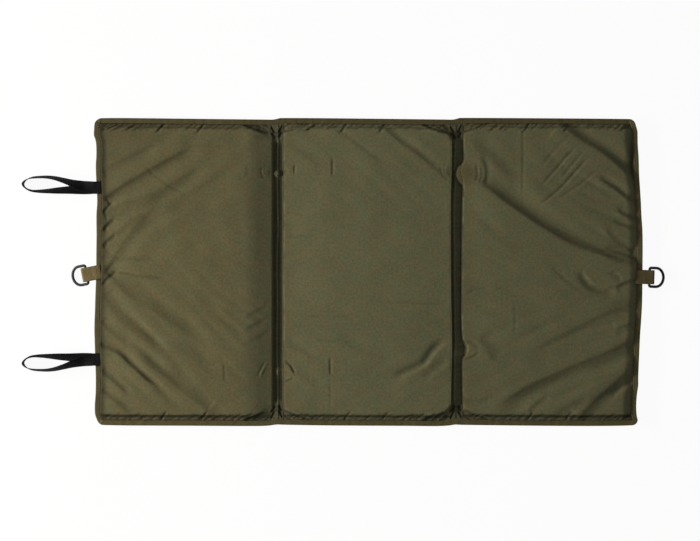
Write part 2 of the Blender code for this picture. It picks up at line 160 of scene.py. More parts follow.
# Gathers at the ends of a web, in mm, as places from its middle and from the tape, and depth
WEB_GATHERS = (
    (((9.5, -0.5), (5, 6), (0.5, 13.5)), 1.2),
    (((9.5, 11.5), (5, 15), (0.5, 19)), 1.1),
    (((4.5, 13), (3, 18), (1.5, 24)), 0.9),
)

# A web's grid across and along it, how many places its seam's drift and its ripple are drawn at,
# and in mm where its ends begin, how far they fade in and how far a pinch reaches
WEB_GRID = (41, 420)
DRIFT_PLACES, RIPPLE_PLACES = 15, 150
END_FROM, END_FADE, PINCH_REACH = 208, 16, 7

# How far a web lies flat under the tape and eases into its channel, and where its seam ends
UNDER_TAPE, TAPE_EASE = 7.5 * MM, 3 * MM
SEAM_END = 238 * MM

# The middle pad's right side is a steep wall with a slope over it, in shares of the height. Slopes
# are an even and an easing width. All pads have wider sides along the front than along the back
MIDDLE_WALL, WALL_SHARE, SLOPE_SHARE = 2.4 * MM, 0.7, 0.3
MIDDLE_SLOPE, RIGHT_SLOPE = (8 * MM, 26 * MM), (0, 17 * MM)
FRONT_WIDER = 1.35

# The gap between a pad's foot and the web beside it, above and below
TOP_GAP, BASE_GAP = 0.4 * MM, 1.2 * MM

# How wide the finely meshed borders of the covers are, beside the folds and along the tape
SIDE_BORDER, LONG_BORDER = 22 * MM, 26 * MM

# How far a pad's corner beside a fold is drawn in from the tape, as the most, the length that it
# fades over and the power of that, in mm, by panel and side
DRAWN_IN = {
    ("left", "high"): (19.0, 43.0, 2.8),
    ("middle", "low"): (10.0, 24.0, 1.3),
    ("middle", "high"): (12.0, 20.0, 1.5),
    ("right", "low"): (11.0, 40.0, 1.7),
}

# Creases of the top covers, in mm: points, ridge height, valley depth, width of the steep side and
# width of the gentle side. The valley is on the left hand along the points, or on the right hand
# where the steep width is negative. One whose first or last point lies by an edge runs on into it.
LEFT_CREASES = (
    (((-440, 124), (-420, 139), (-395, 155), (-368, 170), (-338, 187), (-306, 204),
      (-280, 216)), 1.3, 2.3, -8, 17),
    (((-441, 108), (-405, 119), (-365, 132), (-330, 149), (-300, 167), (-270, 186)), 0.7, 1.5, -10, 20),
    (((-345, 120), (-300, 138), (-260, 160), (-222, 190)), 0.3, 0.7, -12, 20),
    (((-441, 174), (-418, 184), (-390, 198), (-350, 214)), 0.5, 1.0, -8, 13),
    (((-380, 179), (-350, 155), (-332, 141), (-312, 131), (-290, 124)), 0.1, 0.38, 2.2, 5),
    (((-440, 128), (-425, 129), (-408, 131), (-384, 140)), 0.4, 0.7, -4, 9),
    (((-441, 100), (-432, 112), (-422, 121)), 0.3, 0.9, -2.6, 6),
    (((-441, 70), (-434, 80), (-420, 92)), 0.5, 1.1, -3.4, 7),
    (((-441, 44), (-433, 54), (-418, 66)), 0.5, 1.1, -3.4, 7),
    (((-441, 2), (-424, 28), (-400, 62), (-368, 100), (-340, 124)), 0.7, 1.1, -10, 17),
    (((-441, 40), (-415, 70), (-385, 96), (-350, 112)), 0.4, 0.8, -8, 14),
    (((-441, 76), (-418, 96), (-388, 110)), 0.4, 0.8, -7, 12),
    (((-408, 110), (-320, 97), (-230, 92)), 0.2, 0.35, -8, 10),
    (((-360, 88), (-300, 80), (-226, 79)), 0.15, 0.3, -8, 10),
    (((-320, 66), (-270, 60), (-222, 62)), 0.12, 0.25, -8, 10),
    (((-441, 16), (-425, 20), (-405, 18), (-370, 16), (-340, 17)), 0.4, 0.9, 3.6, 9),
    (((-428, 7), (-400, 2), (-370, -3), (-324, -7)), 0.4, 1.1, -2.6, 7),
    (((-441, -18), (-430, -6), (-416, 6)), 0.3, 1.1, -3, 6),
    (((-441, -2), (-405, -36), (-360, -68), (-317, -97), (-270, -127)), 0.9, 1.5, 12, 20),
    (((-441, -42), (-415, -78), (-380, -112), (-340, -140)), 0.6, 1.0, 11, 17),
    (((-441, -84), (-424, -104), (-396, -126)), 0.4, 0.9, 7, 12),
    (((-441, -128), (-424, -131), (-410, -139), (-398, -152), (-383, -166), (-366, -181),
      (-338, -198)), 1.1, 1.7, 5.0, 12),
    (((-393, -138), (-365, -158), (-330, -184), (-290, -214), (-268, -232)), 0.8, 1.2, 10, 17),
    (((-330, -122), (-290, -150), (-255, -186)), 0.3, 0.5, 11, 17),
    (((-441, -168), (-424, -181), (-410, -194), (-396, -206)), 0.6, 1.0, 5, 10),
    (((-441, -200), (-420, -214), (-400, -230)), 0.4, 0.7, 5, 10),
    (((-240, -150), (-240, -181)), 0.1, 0.5, 1.7, 3),
    (((-258, -158), (-246, -152), (-232, -146)), 0.15, 0.3, 2.2, 4),
    (((-158, -44), (-184, -60), (-211, -77)), 0.25, 0.35, 4, 7),
    (((-158, -66), (-182, -80), (-209, -94)), 0.25, 0.35, 4, 7),
    (((-159, -90), (-186, -106), (-210, -114)), 0.2, 0.3, 4, 7),
    (((-170, 60), (-192, 66), (-214, 76)), 0.15, 0.25, 4, 7),
    (((-172, 10), (-196, 20), (-215, 24)), 0.15, 0.25, 4, 7),
    (((-205, 178), (-203, 168), (-206, 158)), 0.15, 0.3, 3, 5),
    (((-164, 179), (-168, 170), (-166, 159), (-161, 151)), 0.2, 0.3, -2.0, 4.5),
    (((-171, 174), (-173, 166), (-168, 154)), 0.2, 0.4, -2.0, 4.5),
    (((-179.5, -174.5), (-175.3, -165.4), (-170.4, -156.3), (-164.6, -148.9)), 0.6, 0.5, 2.0, 2.5),
)
MIDDLE_CREASES = (
    (((-60, 236), (-30, 214), (0, 192), (34, 168)), 0.2, 0.55, 5, 12),
    (((24, 236), (52, 212), (84, 190), (108, 169), (130, 153)), 0.45, 0.9, 6, 14),
    (((-138, 54), (-108, 56), (-80, 60)), 0.12, 0.5, 2.0, 4.5),
    (((-138, 26), (-118, 26), (-100, 27)), 0.1, 0.3, 2.0, 4.5),
    (((-138, 90), (-124, 93), (-104, 92)), 0.1, 0.3, 2.2, 5),
    (((-61.4, 190), (-61.4, 157)), 0.15, 0.8, 1.7, 3.4),
    (((-124, 178), (-124, 162)), 0.1, 0.7, 1.7, 3.4),
    (((10, -52), (70, -54), (134, -57)), 0.12, 0.5, 2.0, 4.5),
    (((-138, -76), (-70, -77), (-3, -76)), 0.1, 0.35, 2.6, 5),
    (((-130, -92), (-90, -92), (-50, -94)), 0.1, 0.25, 2.6, 5),
    (((-86, -116), (-62, -117), (-39, -117)), 0.12, 0.4, 2.2, 4.5),
    (((95, -91), (113, -88), (134, -84)), 0.12, 0.4, 2.2, 4.5),
    (((138, -116), (126, -124), (114, -134), (104, -148), (95, -158), (75, -168),
      (40, -182)), 0.5, 2.2, -5.5, 16),
    (((138, -152), (118, -166), (96, -184)), 0.4, 0.8, -6, 11),
    (((-60, -112), (-20, -134), (10, -146), (42, -156)), 0.35, 0.5, 10, 15),
    (((-65, -140), (-65, -172)), 0.15, 0.9, 1.7, 3.4),
    (((-65, -170), (-65, -225)), 0.05, 0.22, 1.7, 3.4),
    (((-138, -122), (-112, -134), (-90, -145)), 0.4, 0.4, 5, 9),
    (((-138, -160), (-110, -178), (-80, -200)), 0.3, 0.5, 8, 13),
    (((-138, 205), (-110, 190), (-80, 168)), 0.25, 0.4, 8, 13),
    (((-140.6, -147), (-130.7, -155.5), (-124.9, -165.4), (-122.4, -171)), 0.3, 1.0, 1.8, 3.5),
    (((-124, -172), (-132.3, -177), (-140.6, -180.3)), 0.5, 0.5, 2.0, 2.5),
    (((132, 181), (129, 172), (130, 161), (136, 153)), 0.2, 0.4, -2.0, 4.5),
    (((125, 176), (124, 168), (129, 156)), 0.2, 0.5, -2.0, 4.5),
)
RIGHT_CREASES = (
    (((158, 153), (170, 148), (185, 141), (205, 126), (226, 109), (256, 88), (295, 62), (338, 38),
      (390, 19), (446, 4)), 2.2, 4.6, 13, 30),
    (((250, 80), (295, 52), (340, 28), (385, 12)), 0.5, 0.6, 9, 14),
    (((316, 243), (336, 227), (356, 212), (377, 200), (404, 180), (426, 158),
      (446, 140)), 1.7, 2.8, 10, 22),
    (((352, 209), (330, 187), (314, 168), (286, 138)), 0.3, 0.9, -2.0, 3.8),
    (((373, 193), (345, 163), (314, 131), (278, 104)), 0.3, 1.0, -2.0, 3.8),
    (((362, 200), (340, 175), (322, 154)), 0.25, 0.7, -1.9, 3.4),
    (((388, 172), (352, 142), (312, 116)), 0.2, 0.6, -2.2, 4.5),
    (((338, 224), (310, 196), (288, 170)), 0.15, 0.4, -2.4, 4.5),
    (((446, 104), (424, 120), (402, 138), (376, 152)), 0.9, 1.6, -5, 11),
    (((446, 76), (427, 88), (405, 100)), 0.6, 1.3, -4, 9),
    (((446, 60), (424, 72), (398, 80)), 0.4, 0.9, -4, 8),
    (((380, 72), (405, 48), (428, 32), (446, 10)), 0.7, 1.0, 5, 10),
    (((384, 36), (412, 29), (432, 20), (446, 2)), 0.5, 1.2, 3.4, 7),
    (((253.4, 234), (253.4, 180), (252, 118)), 0.15, 0.35, 1.9, 4.2),
    (((238, -44), (240, -80), (238, -110)), 0.1, 0.25, 1.9, 4.2),
    (((354, 8), (360, -6), (370, -17), (387, -24), (408, -26)), 0.9, 2.1, -5.5, 11),
    (((446, -6), (430, -10), (414, -16), (400, -26)), 0.8, 1.5, 5, 9),
    (((400, 8), (415, -4), (420, -18)), 0.5, 0.9, -5, 8),
    (((290, 12), (326, -20), (362, -46)), 0.2, 0.4, 3.4, 7),
    (((200, -222), (218, -210), (234, -199), (262, -182), (295, -166), (350, -143), (399, -123),
      (446, -98)), 1.8, 3.0, -13, 27),
    (((244, -140), (290, -114), (322, -99), (377, -67), (446, -32)), 1.0, 1.6, -14, 25),
    (((348, -236), (366, -216), (393, -190), (446, -144)), 1.5, 2.4, -12, 22),
    (((300, -238), (330, -216), (366, -196)), 0.5, 0.8, -9, 15),
    (((402, -94), (422, -84), (446, -70)), 0.6, 1.0, -7, 12),
    (((446, -186), (428, -196), (410, -212)), 0.5, 1.0, -5, 9),
    (((162, -42), (172, -36), (182, -32), (201, -30)), 0.2, 0.6, 2.2, 4.5),
    (((264, -226), (280, -212), (297, -199)), 0.5, 0.8, -5, 9),
    (((158, -206), (180, -208), (206, -205)), 0.4, 0.6, -4, 7),
    (((176, -108), (190, -128), (206, -152)), 0.5, 1.0, 12, 16),
    (((160, 216), (186, 190), (212, 168), (244, 122)), 0.6, 1.3, 14, 22),
    (((166, 90), (200, 60), (250, 20)), 0.3, 0.4, 12, 18),
    (((443, 222), (442, 200), (441.5, 175), (441, 146)), 0.2, 3.2, 2.2, 5),
    (((444, -40), (443, -70), (441, -100), (439, -150)), 0.1, 1.4, 2.0, 4),
    (((442, 132), (443, 100), (444, 40)), 0.1, 1.2, 2.0, 4),
    (((180, 191), (188.6, 180.3), (191.9, 165.4), (189.4, 149), (186.9, 142)), 0.4, 0.8, 4.5, 6),
    (((174.5, 178.6), (177.8, 168.7), (178.3, 158.8), (173.7, 147.2)), 0.3, 0.4, 2.0, 4.5),
    (((182, 177), (185.3, 165.4), (182.8, 152.2), (177, 145.6)), 0.5, 0.2, 2.0, 3),
    (((150.5, -144), (168.7, -139), (183, -130.5)), 0.6, 0.6, -2.0, 3),
    (((160, -117), (172, -122), (183, -128.5)), 0.15, 0.6, 2.5, 5),
)

# Soft waves of a cover over its foam, as (panel, x and y of the middle, half width, half depth,
# direction in degrees, wave length, height), all lengths in mm
WAVES = (
    ("left", -350, 150, 120, 100, 33, 26, 0.42), ("left", -330, -130, 130, 110, -38, 30, 0.5),
    ("left", -230, 80, 60, 90, -6, 13, 0.12), ("left", -220, -60, 60, 90, -30, 17, 0.16),
    ("middle", 60, 170, 110, 80, -36, 30, 0.16), ("middle", 0, -40, 140, 130, -4, 22, 0.12),
    ("middle", 60, -170, 100, 70, 24, 26, 0.14), ("right", 250, 170, 110, 80, -46, 28, 0.2),
    ("right", 400, 100, 60, 100, -34, 22, 0.5), ("right", 330, -150, 130, 100, 27, 30, 0.5),
    ("right", 220, -20, 80, 120, -20, 25, 0.18), ("right", 405, -30, 45, 70, 8, 16, 0.4),
)

# Patches where a cover is painted darker, as (panel, x, y, half width, half depth, share): painted
# shade at the channels' back ends, in the pit by the right tab, as the shadow band inside the right
# tape, over the left panel's back corner and along its slope to the fold, and two faint darker
# patches on the right panel
DARK_PATCHES = (
    ("left", -160, 164, 7, 9, 0.45), ("middle", 131, 163, 7, 10, 0.6), ("right", 440, -8, 4, 14, 0.6),
    ("right", 438, 186, 5, 38, 0.9), ("left", -450, 235, 150, 120, 0.3), ("left", -168, 0, 24, 900, 0.16),
    ("right", 214, -138, 22, 34, 0.14), ("right", 420, -200, 60, 60, 0.1),
)

# Where the cloth is painted browner beside the pinched seams, as x, y, radius in mm and share
BROWNED = (
    (162, 162, 20, 1.2), (-133, -164, 11, 1.4), (170, -130, 12, 0.9), (-163, -165, 12, 0.6),
    (-136, 163, 9, 0.8),
)

# Outline of the mat against straight edges, in mm: place along the edge and how far it lies out
BACK_WAVE = (
    (-450, 0.6), (-430, 1.2), (-380, 1.0), (-260, -0.4), (-175, -1.3), (-158, -1.4), (-148, 0.4),
    (-138, 1.2), (-60, 0.8), (60, -0.5), (122, -1.2), (140, -1.4), (150, 0.6), (160, 1.4), (260, 1.0),
    (380, 0.2), (450, -0.6),
)
FRONT_WAVE = (
    (-450, -0.6), (-400, 0.4), (-300, 0.8), (-200, 1.3), (-168, 0.8), (-151, -1.2), (-136, -0.8),
    (-60, 0.4), (60, 1.0), (110, 1.4), (132, 0.6), (146, -1.2), (160, -0.6), (260, 0.6), (360, 1.2),
    (420, 0.8), (450, -0.4),
)
RIGHT_WAVE = (
    (-254, -2.6), (-246, -3.0), (-236, -5.0), (-220, -5.5), (-203, -4.3), (-187, -2.2), (-170, -2.0),
    (-112, 0.5), (-88, 2.1), (-63, 3.7), (-38, 4.5), (23, 5.1), (45, 5.2), (69, 4.8), (94, 3.1), (119, 2.0),
    (160, -0.6), (177, -1.1), (193, -1.7), (210, -2.9), (225, -3.2), (235, -3.7), (245, -6.5), (254, -7.5),
)
LEFT_WAVE = (
    (-254, -2.0), (-246, -1.0), (-236, 2.2), (-220, 2.6), (-200, 1.3), (-170, 1.1), (-112, 3.0), (-88, 3.3),
    (-63, 2.4), (-38, 1.7), (0, 0.3), (30, 0.2), (60, -0.2), (94, 0.0), (119, -1.3), (160, 0.6), (177, 1.0),
    (193, 0.1), (207, 0.2), (215, 0.9), (221, 2.4), (226, 4.2), (234, 4.0), (245, 3.2), (254, 1.0),
)

# One elastic loop from its root to the tip and back: outward share of the reach, sideways share
# of the spread, and share of the quarter turn from lying flat to standing on edge
LOOP_SHARES = (
    (0.0, 0.02, 0.0), (0.1, 0.08, 0.2), (0.18, 0.18, 0.4), (0.31, 0.36, 0.6), (0.44, 0.56, 0.72),
    (0.57, 0.72, 0.79), (0.7, 0.78, 0.83), (0.87, 0.73, 0.87), (0.96, 0.56, 0.93), (1.0, 0.28, 1.0),
    (0.965, 0.0, 1.0), (0.88, -0.19, 0.9), (0.77, -0.23, 0.81), (0.66, -0.22, 0.74),
    (0.5, -0.18, 0.62), (0.31, -0.13, 0.5), (0.1, -0.05, 0.2), (0.0, 0.0, 0.0),
)
LOOP_FLEX_X = LEFT_EDGE - 5 * MM
LOOP_FLEX_Z = 13.05 * MM
LOOP_TIP_Z = 10.3 * MM
LOOP_REACH = 116.5 * MM
LOOP_SPREAD = 23.3 * MM
LOOP_TAIL = 12.5 * MM
LOOP_LAYER = 0.85 * MM
LOOP_STATIONS, TAIL_STATIONS = 190, 9
LOOPS = {"back": (139.3 * MM, 1), "front": (-144.6 * MM, -1)}

# Lights, as name, place, size, power and colour
LIGHTS = (
    ("key_light", (-2.6, 0.0, 0.88), (0.35, 1.5), 128.0, "#fff8ee"),
    ("top_light", (0.0, 0.3, 2.9), (1.6, 1.6), 7.0, "#f4f8ff"),
)

# The camera's lens and sensor in mm, and the middle, height and width of the plane that fills it
LENS, SENSOR = 85.0, 36.0
SEEN_MIDDLE, SEEN_HEIGHT, SEEN_WIDTH = (-0.0298, 0.0025), 0.0145, 1.1578

# Webbing tabs and D-rings: edge, place along it and slant in degrees
TABS = {"left": (LEFT_EDGE, -1 * MM, 180 + 11), "right": (RIGHT_EDGE, -8 * MM, -2)}
RING_BAR_OUT = 16.4 * MM
RING_DROOP = np.arctan2(SEAM - 2.05 * MM, 25.5 * MM)


def linear(hex_colour):
    """The linear colour of an sRGB hex value."""
    parts = [int(hex_colour[n : n + 2], 16) / 255 for n in (1, 3, 5)]
    return tuple(c / 12.92 if c <= 0.04045 else ((c + 0.055) / 1.055) ** 2.4 for c in parts)


def length_property(name, description, default_mm):
    """A length setting, given in mm."""
    common = {"name": name, "description": description, "default": default_mm * MM, "min": 0.0}
    return bpy.props.FloatProperty(**common, subtype="DISTANCE", unit="LENGTH")


def colour_property(name, description, default_hex):
    """A colour setting, given as an sRGB hex value."""
    common = {"name": name, "description": description, "default": linear(default_hex), "size": 3}
    return bpy.props.FloatVectorProperty(**common, min=0.0, max=1.0, subtype="COLOR")


class MatSizes(bpy.types.PropertyGroup):
    """Sizes of the soft parts."""

    plateau: length_property("Plateau", "Height of a pad's top away from its sides", 16.5)
    crown: length_property("Crown", "How far the middle of a pad stands over its plateau", 0.7)
    short_wall: length_property("Short wall", "Width of a pad's rounded side beside a fold", 2.2)
    edge_wall: length_property("Edge wall", "Width of a pad's rounded side at the mat's ends", 1.7)
    slope_even: length_property("Even slope", "Width of the left pad's even slope at its fold", 21.0)
    slope_ease: length_property("Easing slope", "Width over which that slope eases out", 21.0)
    long_wall: length_property("Long wall", "Width of the rounded side along the tape", 15.0)
    grid_step: length_property("Cloth grid", "Spacing of the cover mesh in the middle of a pad", 1.7)
    edge_step: length_property("Edge grid", "Spacing of the cover mesh near its sides", 1.0)
    cloth_step: length_property("Simulation grid", "Spacing of the simulated cloth", 5.0)
    cloth_cap: length_property("Cloth cap", "The most that simulation moves a point", 2.2)
    web_dip: length_property("Web dip", "Depth of a fold web's floor under the pads' feet", 3.9)
    web_ridge: length_property("Web ridge", "Height of the seam over that floor", 0.9)
    stitch_pitch: length_property("Stitch pitch", "Distance from one stitch to the next", 3.6)
    stitch_length: length_property("Stitch length", "Visible length of one stitch", 2.7)
    thread_width: length_property("Thread width", "Width of the sewing thread", 0.5)
    wire: length_property("Ring wire", "Diameter of the D-ring's wire", 4.6)
    webbing_width: length_property("Webbing width", "Width of the webbing tabs", 23.5)
    elastic_width: length_property("Elastic width", "Width of the elastic loops", 20.0)


class MatColours(bpy.types.PropertyGroup):
    """Colours of the finishes."""

    cover: colour_property("Cover", "Coated polyester of the top covers", "#5f5d43")
    base: colour_property("Base", "Coated polyester of the base covers", "#52503e")
    tape: colour_property("Tape", "Binding tape round the outside", "#4b452b")
    webbing: colour_property("Webbing", "Webbing of the tabs", "#63583a")
    elastic: colour_property("Elastic", "Elastic of the loops", "#0c0c0d")
    ring: colour_property("Ring", "Paint of the D-rings", "#17191b")
    thread: colour_property("Thread", "Sewing thread", "#4c4529")


# ---- Shapes in numbers


def smooth(value):
    """0 to 1 with a soft start and end."""
    share = np.clip(value, 0.0, 1.0)
    return share * share * (3 - 2 * share)


def rounded_rise(distance, reach, power=2.1):
    """0 at the flange to 1 one reach further in, steep at first like a stuffed side."""
    share = 1 - np.clip(distance / reach, 0.0, 1.0)
    return (1 - share**power) ** (1 / power)


def slope_rise(distance, even, easing):
    """0 at the flange to 1, with an even slope that eases out into the flat top."""
    inside = np.clip(distance, 0.0, even + easing)
    beyond = np.maximum(inside - even, 0.0)
    return (inside - beyond**2 / (2 * easing)) / (even + easing / 2)


def spline(a, b, c, d, t):
    """A Catmull-Rom curve from b to c at the share t, with a before it and d after it."""
    bend = (2 * a - 5 * b + 4 * c - d) * t**2 + (3 * b - a - 3 * c + d) * t**3
    return 0.5 * (2 * b + (c - a) * t + bend)


def curve_through(rows, count):
    """A Catmull-Rom curve through rows of numbers, read at an even count of places."""
    rows = np.asarray(rows, float)
    padded = np.vstack([rows[0], rows, rows[-1]])
    place = np.linspace(0, len(rows) - 1, count)
    n = np.minimum(place.astype(int), len(rows) - 2)
    return spline(*(padded[n + k] for k in range(4)), (place - n)[:, None])


def headings(line):
    """Unit vectors along a line of points."""
    ahead = np.gradient(line, axis=0)
    return ahead / np.linalg.norm(ahead, axis=1, keepdims=True)


def round_patch(x, y, mid_x, mid_y, radius, fade):
    """1 in the middle of a round patch, fading to 0 at its radius over a share of it."""
    return smooth((radius - np.hypot(x - mid_x, y - mid_y)) / (fade * radius))


def soft_patch(x, y, mid_x, mid_y, half_x, half_y):
    """1 in the middle of a patch without an edge, by its half width and half depth."""
    return np.exp(-(((x - mid_x) / half_x) ** 2) - ((y - mid_y) / half_y) ** 2)


def beside_line(x, y, points):
    """Signed distance to a line, positive on its left hand, and the share of its length there."""
    best = np.full(x.shape, np.inf)
    signed = np.zeros(x.shape)
    along = np.zeros(x.shape)
    steps = np.linalg.norm(np.diff(points, axis=0), axis=1)
    total = steps.sum()
    before = 0.0
    for (ax, ay), (bx, by), step in zip(points[:-1], points[1:], steps):
        ux, uy = (bx - ax) / step, (by - ay) / step
        t = np.clip((x - ax) * ux + (y - ay) * uy, 0.0, step)
        ox, oy = x - ax - ux * t, y - ay - uy * t
        distance = np.hypot(ox, oy)
        nearer = distance < best
        best = np.where(nearer, distance, best)
        side = np.where(ux * oy - uy * ox >= 0, 1.0, -1.0)
        signed = np.where(nearer, side * distance, signed)
        along = np.where(nearer, (before + t) / total, along)
        before += step
    return signed, along


def crease_heights(x, y, creases, taper=0.22):
    """How far creases lift or sink the cloth, all in mm, and how deep in a crease each point is."""
    height = np.zeros(x.shape)
    deep = np.zeros(x.shape)
    for points, ridge, valley, steep, gentle in creases:
        line = curve_through(points, 6 * len(points))
        margin = 3 * max(abs(steep), gentle)
        low, high = line.min(0) - margin, line.max(0) + margin
        near = (x > low[0]) & (x < high[0]) & (y > low[1]) & (y < high[1])
        if not near.any():
            continue
        signed, along = beside_line(x[near], y[near], line)
        if steep < 0:
            signed, steep = -signed, -steep
        ends = 1.0
        for point, share in ((points[0], along), (points[-1], 1 - along)):
            by_edge = abs(point[0]) > 430 or abs(point[1]) > 222
            ends = ends * (smooth(share / 0.03 + 0.4) if by_edge else smooth(share / taper))
        up = ridge * np.exp(-((signed / np.where(signed < 0, gentle, steep)) ** 2))
        sink = np.exp(-(((signed - 1.5 * steep) / (1.2 * steep)) ** 2))
        sink *= smooth(signed / steep + 0.1)
        height[near] += ends * (up - valley * sink)
        # How deep and narrow the valley is; the covers paint this as shade
        narrow = np.clip(0.75 * valley / max(steep, 1.0), 0, 0.7)
        deep[near] = np.maximum(deep[near], ends * sink * narrow)
    return height, deep


def fold_level(x, y):
    """How high the edges of the folds and the round forms in them stand over the flange, in mm."""
    level = np.zeros(x.shape)
    for edge, reach, height in BANKS.values():
        bank = smooth(1 - (x - edge).clip(0) / reach) * smooth((x - edge + BANK_FADE) / 40)
        level = level + height * bank
    for mid_x, mid_y, radius, height in DOMES:
        level = np.maximum(level, height * round_patch(x, y, mid_x, mid_y, radius, 0.7))
    return level * smooth((BACK_EDGE / MM - 24 - np.abs(y)) / 12)


def seam_shift(x, y):
    """How far the sewn edges at the folds pull each point sideways, in mm."""
    shift = np.zeros(x.shape)
    for edge, places in SEAM_WANDER.items():
        rows = curve_through(places, 12 * len(places))
        near = smooth(1 - np.abs(x - edge) / WANDER_REACH)
        shift = shift + np.interp(y, rows[:, 0], rows[:, 1]) * near
    return shift


def lit_wall_shade(z, x):
    """The painted shade that a wall facing the key light needs to look no brighter than level cloth."""
    tilt = np.arctan(np.gradient(z, axis=1) / np.gradient(x, axis=1)).clip(0)
    light = EVEN_LIGHT + (1 - EVEN_LIGHT) * np.sin(KEY_RISE + tilt) / np.sin(KEY_RISE)
    return 1.5 * (1 - 1 / light)


def domed(x, y):
    """How far each point lies on a round form in a fold, from 0 to 1."""
    share = np.zeros(x.shape)
    for mid_x, mid_y, radius, _ in DOMES:
        share = np.maximum(share, round_patch(x, y, mid_x, mid_y, radius, 0.7))
    return share


def hollowed(x, y):
    """How far a pad is hollowed out beside a fold, and how much painted shade it gets there."""
    sunk, dark = np.zeros(x.shape), np.zeros(x.shape)
    for mid_x, mid_y, radius, depth, shade in HOLLOWS:
        share = round_patch(x, y, mid_x, mid_y, radius, 0.9)
        sunk, dark = np.maximum(sunk, depth * share), np.maximum(dark, shade * share)
    return sunk, dark


def corner_draw(panel, low, high, x):
    """How far the pad's corners are drawn in from the tape at each place across it."""
    total = np.zeros(np.shape(x))
    for side, distance in (("low", x - low), ("high", high - x)):
        if (panel, side) in DRAWN_IN:
            most, length, power = DRAWN_IN[(panel, side)]
            total = total + most * np.clip(1 - distance / length, 0, 1) ** power
    return total


def pleats(panel, low, high, edge, inwards, seed):
    """Short slanting pleats where a cover is gathered into the tape, in mm."""
    rng = np.random.default_rng(seed)
    width = high - low
    made = []
    place = 0.015
    while place < 0.985:
        rank = place if inwards > 0 else 1 - place
        crowd = smooth((rank - 0.62) / 0.2) + 0.55 * smooth((0.12 - rank) / 0.1)
        length = rng.uniform(5.0, 7.5) + 2.0 * crowd
        made.append((place, length, rng.uniform(1.4, 2.6), rng.uniform(0.5, 1.0) + 0.25 * crowd))
        place += rng.uniform(0.024, 0.07) * (1 - 0.4 * crowd)
    made += [(0.37, 12.0, 0.8, 1.2), (0.61, 12.0, 0.8, 1.1)]
    rows = []
    for place, length, lean, depth in made:
        x = low + place * width
        slant = lean * length
        bend = rng.uniform(-1.2, 1.2)
        start = (x, edge - inwards * 0.5)
        middle = (x + inwards * slant * 0.45 + bend, edge + inwards * length * 0.5)
        end = (x + inwards * slant, edge + inwards * length)
        steep, gentle = rng.uniform(1.3, 2.0), rng.uniform(2.5, 4.0)
        rows.append(((start, middle, end), depth * 0.35, depth, steep, gentle))
    off = 8.5 if inwards < 0 else 10.5
    line = []
    spans = ((low - 5, low + 25, 6), (low + 36, high - 36, 11), (high - 25, high + 5, 6))
    for x in np.concatenate([np.linspace(*span) for span in spans]):
        inset = off + rng.uniform(-0.8, 0.8) + corner_draw(panel, low - 5, high + 5, x)
        line.append((x, edge + inwards * inset))
    rows.append((tuple(line), 0.2, 1.2, inwards * -1.8, 3.5))
    return tuple(rows)


def gathers(channel, way, edge, inwards):
    """Creases that fan out from a channel's end along the tape, in mm."""
    side = channel + way * 10
    fans = (
        (((-1, 16), (7, 16), (16, 14.5), (26, 10.5), (38, 6.5), (48, 1.5)), 2.6, 2.4),
        (((2, 9), (8, 5.5), (14, 1)), 1.5, 1.6),
        (((2, 13), (12, 9.5), (24, 4), (34, 0.5)), 1.3, 1.8),
        (((16, 9.5), (28, 5), (42, 1)), 1.0, 1.7),
    )
    rows = []
    for points, depth, steep in fans:
        line = tuple((side + way * out, edge + inwards * inset) for out, inset in points)
        rows.append((line, 0.25 * depth, depth, -way * inwards * steep, 3.5))
    return tuple(rows)


def laid_out(points):
    """Points moved from the straight plan to the mat's slightly wavy outline."""
    moved = np.array(points, float)
    x, y = moved[:, 0] / MM, moved[:, 1] / MM
    back = wave(x, BACK_WAVE) * smooth((y - 170) / 84)
    front = -wave(x, FRONT_WAVE) * smooth((-y - 170) / 84)
    right = wave(y, RIGHT_WAVE) * smooth((x - 200) / 250)
    left = -wave(y, LEFT_WAVE) * smooth((-x - 370) / 80)
    moved[:, 0] += (right + left) * MM
    moved[:, 1] += (back + front) * MM
    return moved


def wave(place, rows):
    """How far a wavy edge lies out at each place along it, in mm."""
    rows = np.array(rows, float)
    fine = curve_through(rows, 12 * len(rows))
    return np.interp(place, fine[:, 0], fine[:, 1])


def steps_between(low, high, fine, coarse, band_low, band_high):
    """Grid lines from low to high, fine in a band at each end and coarse between."""
    inner_low, inner_high = low + band_low, high - band_high
    first = np.linspace(low, inner_low, max(2, round(band_low / fine) + 1))
    middle = np.linspace(inner_low, inner_high, max(2, round((inner_high - inner_low) / coarse) + 1))
    last = np.linspace(inner_high, high, max(2, round(band_high / fine) + 1))
    return np.concatenate([first[:-1], middle, last[1:]])


def into_corners(x, y):
    """A square grid's corners drawn in to the mat's rounded ones, with no cell closed up."""
    radius = CORNER_RADIUS - 1 * MM
    centre_x, centre_y = RIGHT_EDGE - CORNER_RADIUS, BACK_EDGE - CORNER_RADIUS
    u = np.clip((np.abs(x) - centre_x) / radius, 0, 1)
    v = np.clip((np.abs(y) - centre_y) / radius, 0, 1)
    inside = (u > 0) & (v > 0)
    round_x = np.sign(x) * (centre_x + radius * u * np.sqrt(1 - v * v / 2))
    round_y = np.sign(y) * (centre_y + radius * v * np.sqrt(1 - u * u / 2))
    return np.where(inside, round_x, x), np.where(inside, round_y, y)


# ---- Meshes


def linked(name, data):
    """A new object in the scene."""
    item = bpy.data.objects.new(name, data)
    bpy.context.scene.collection.objects.link(item)
    return item


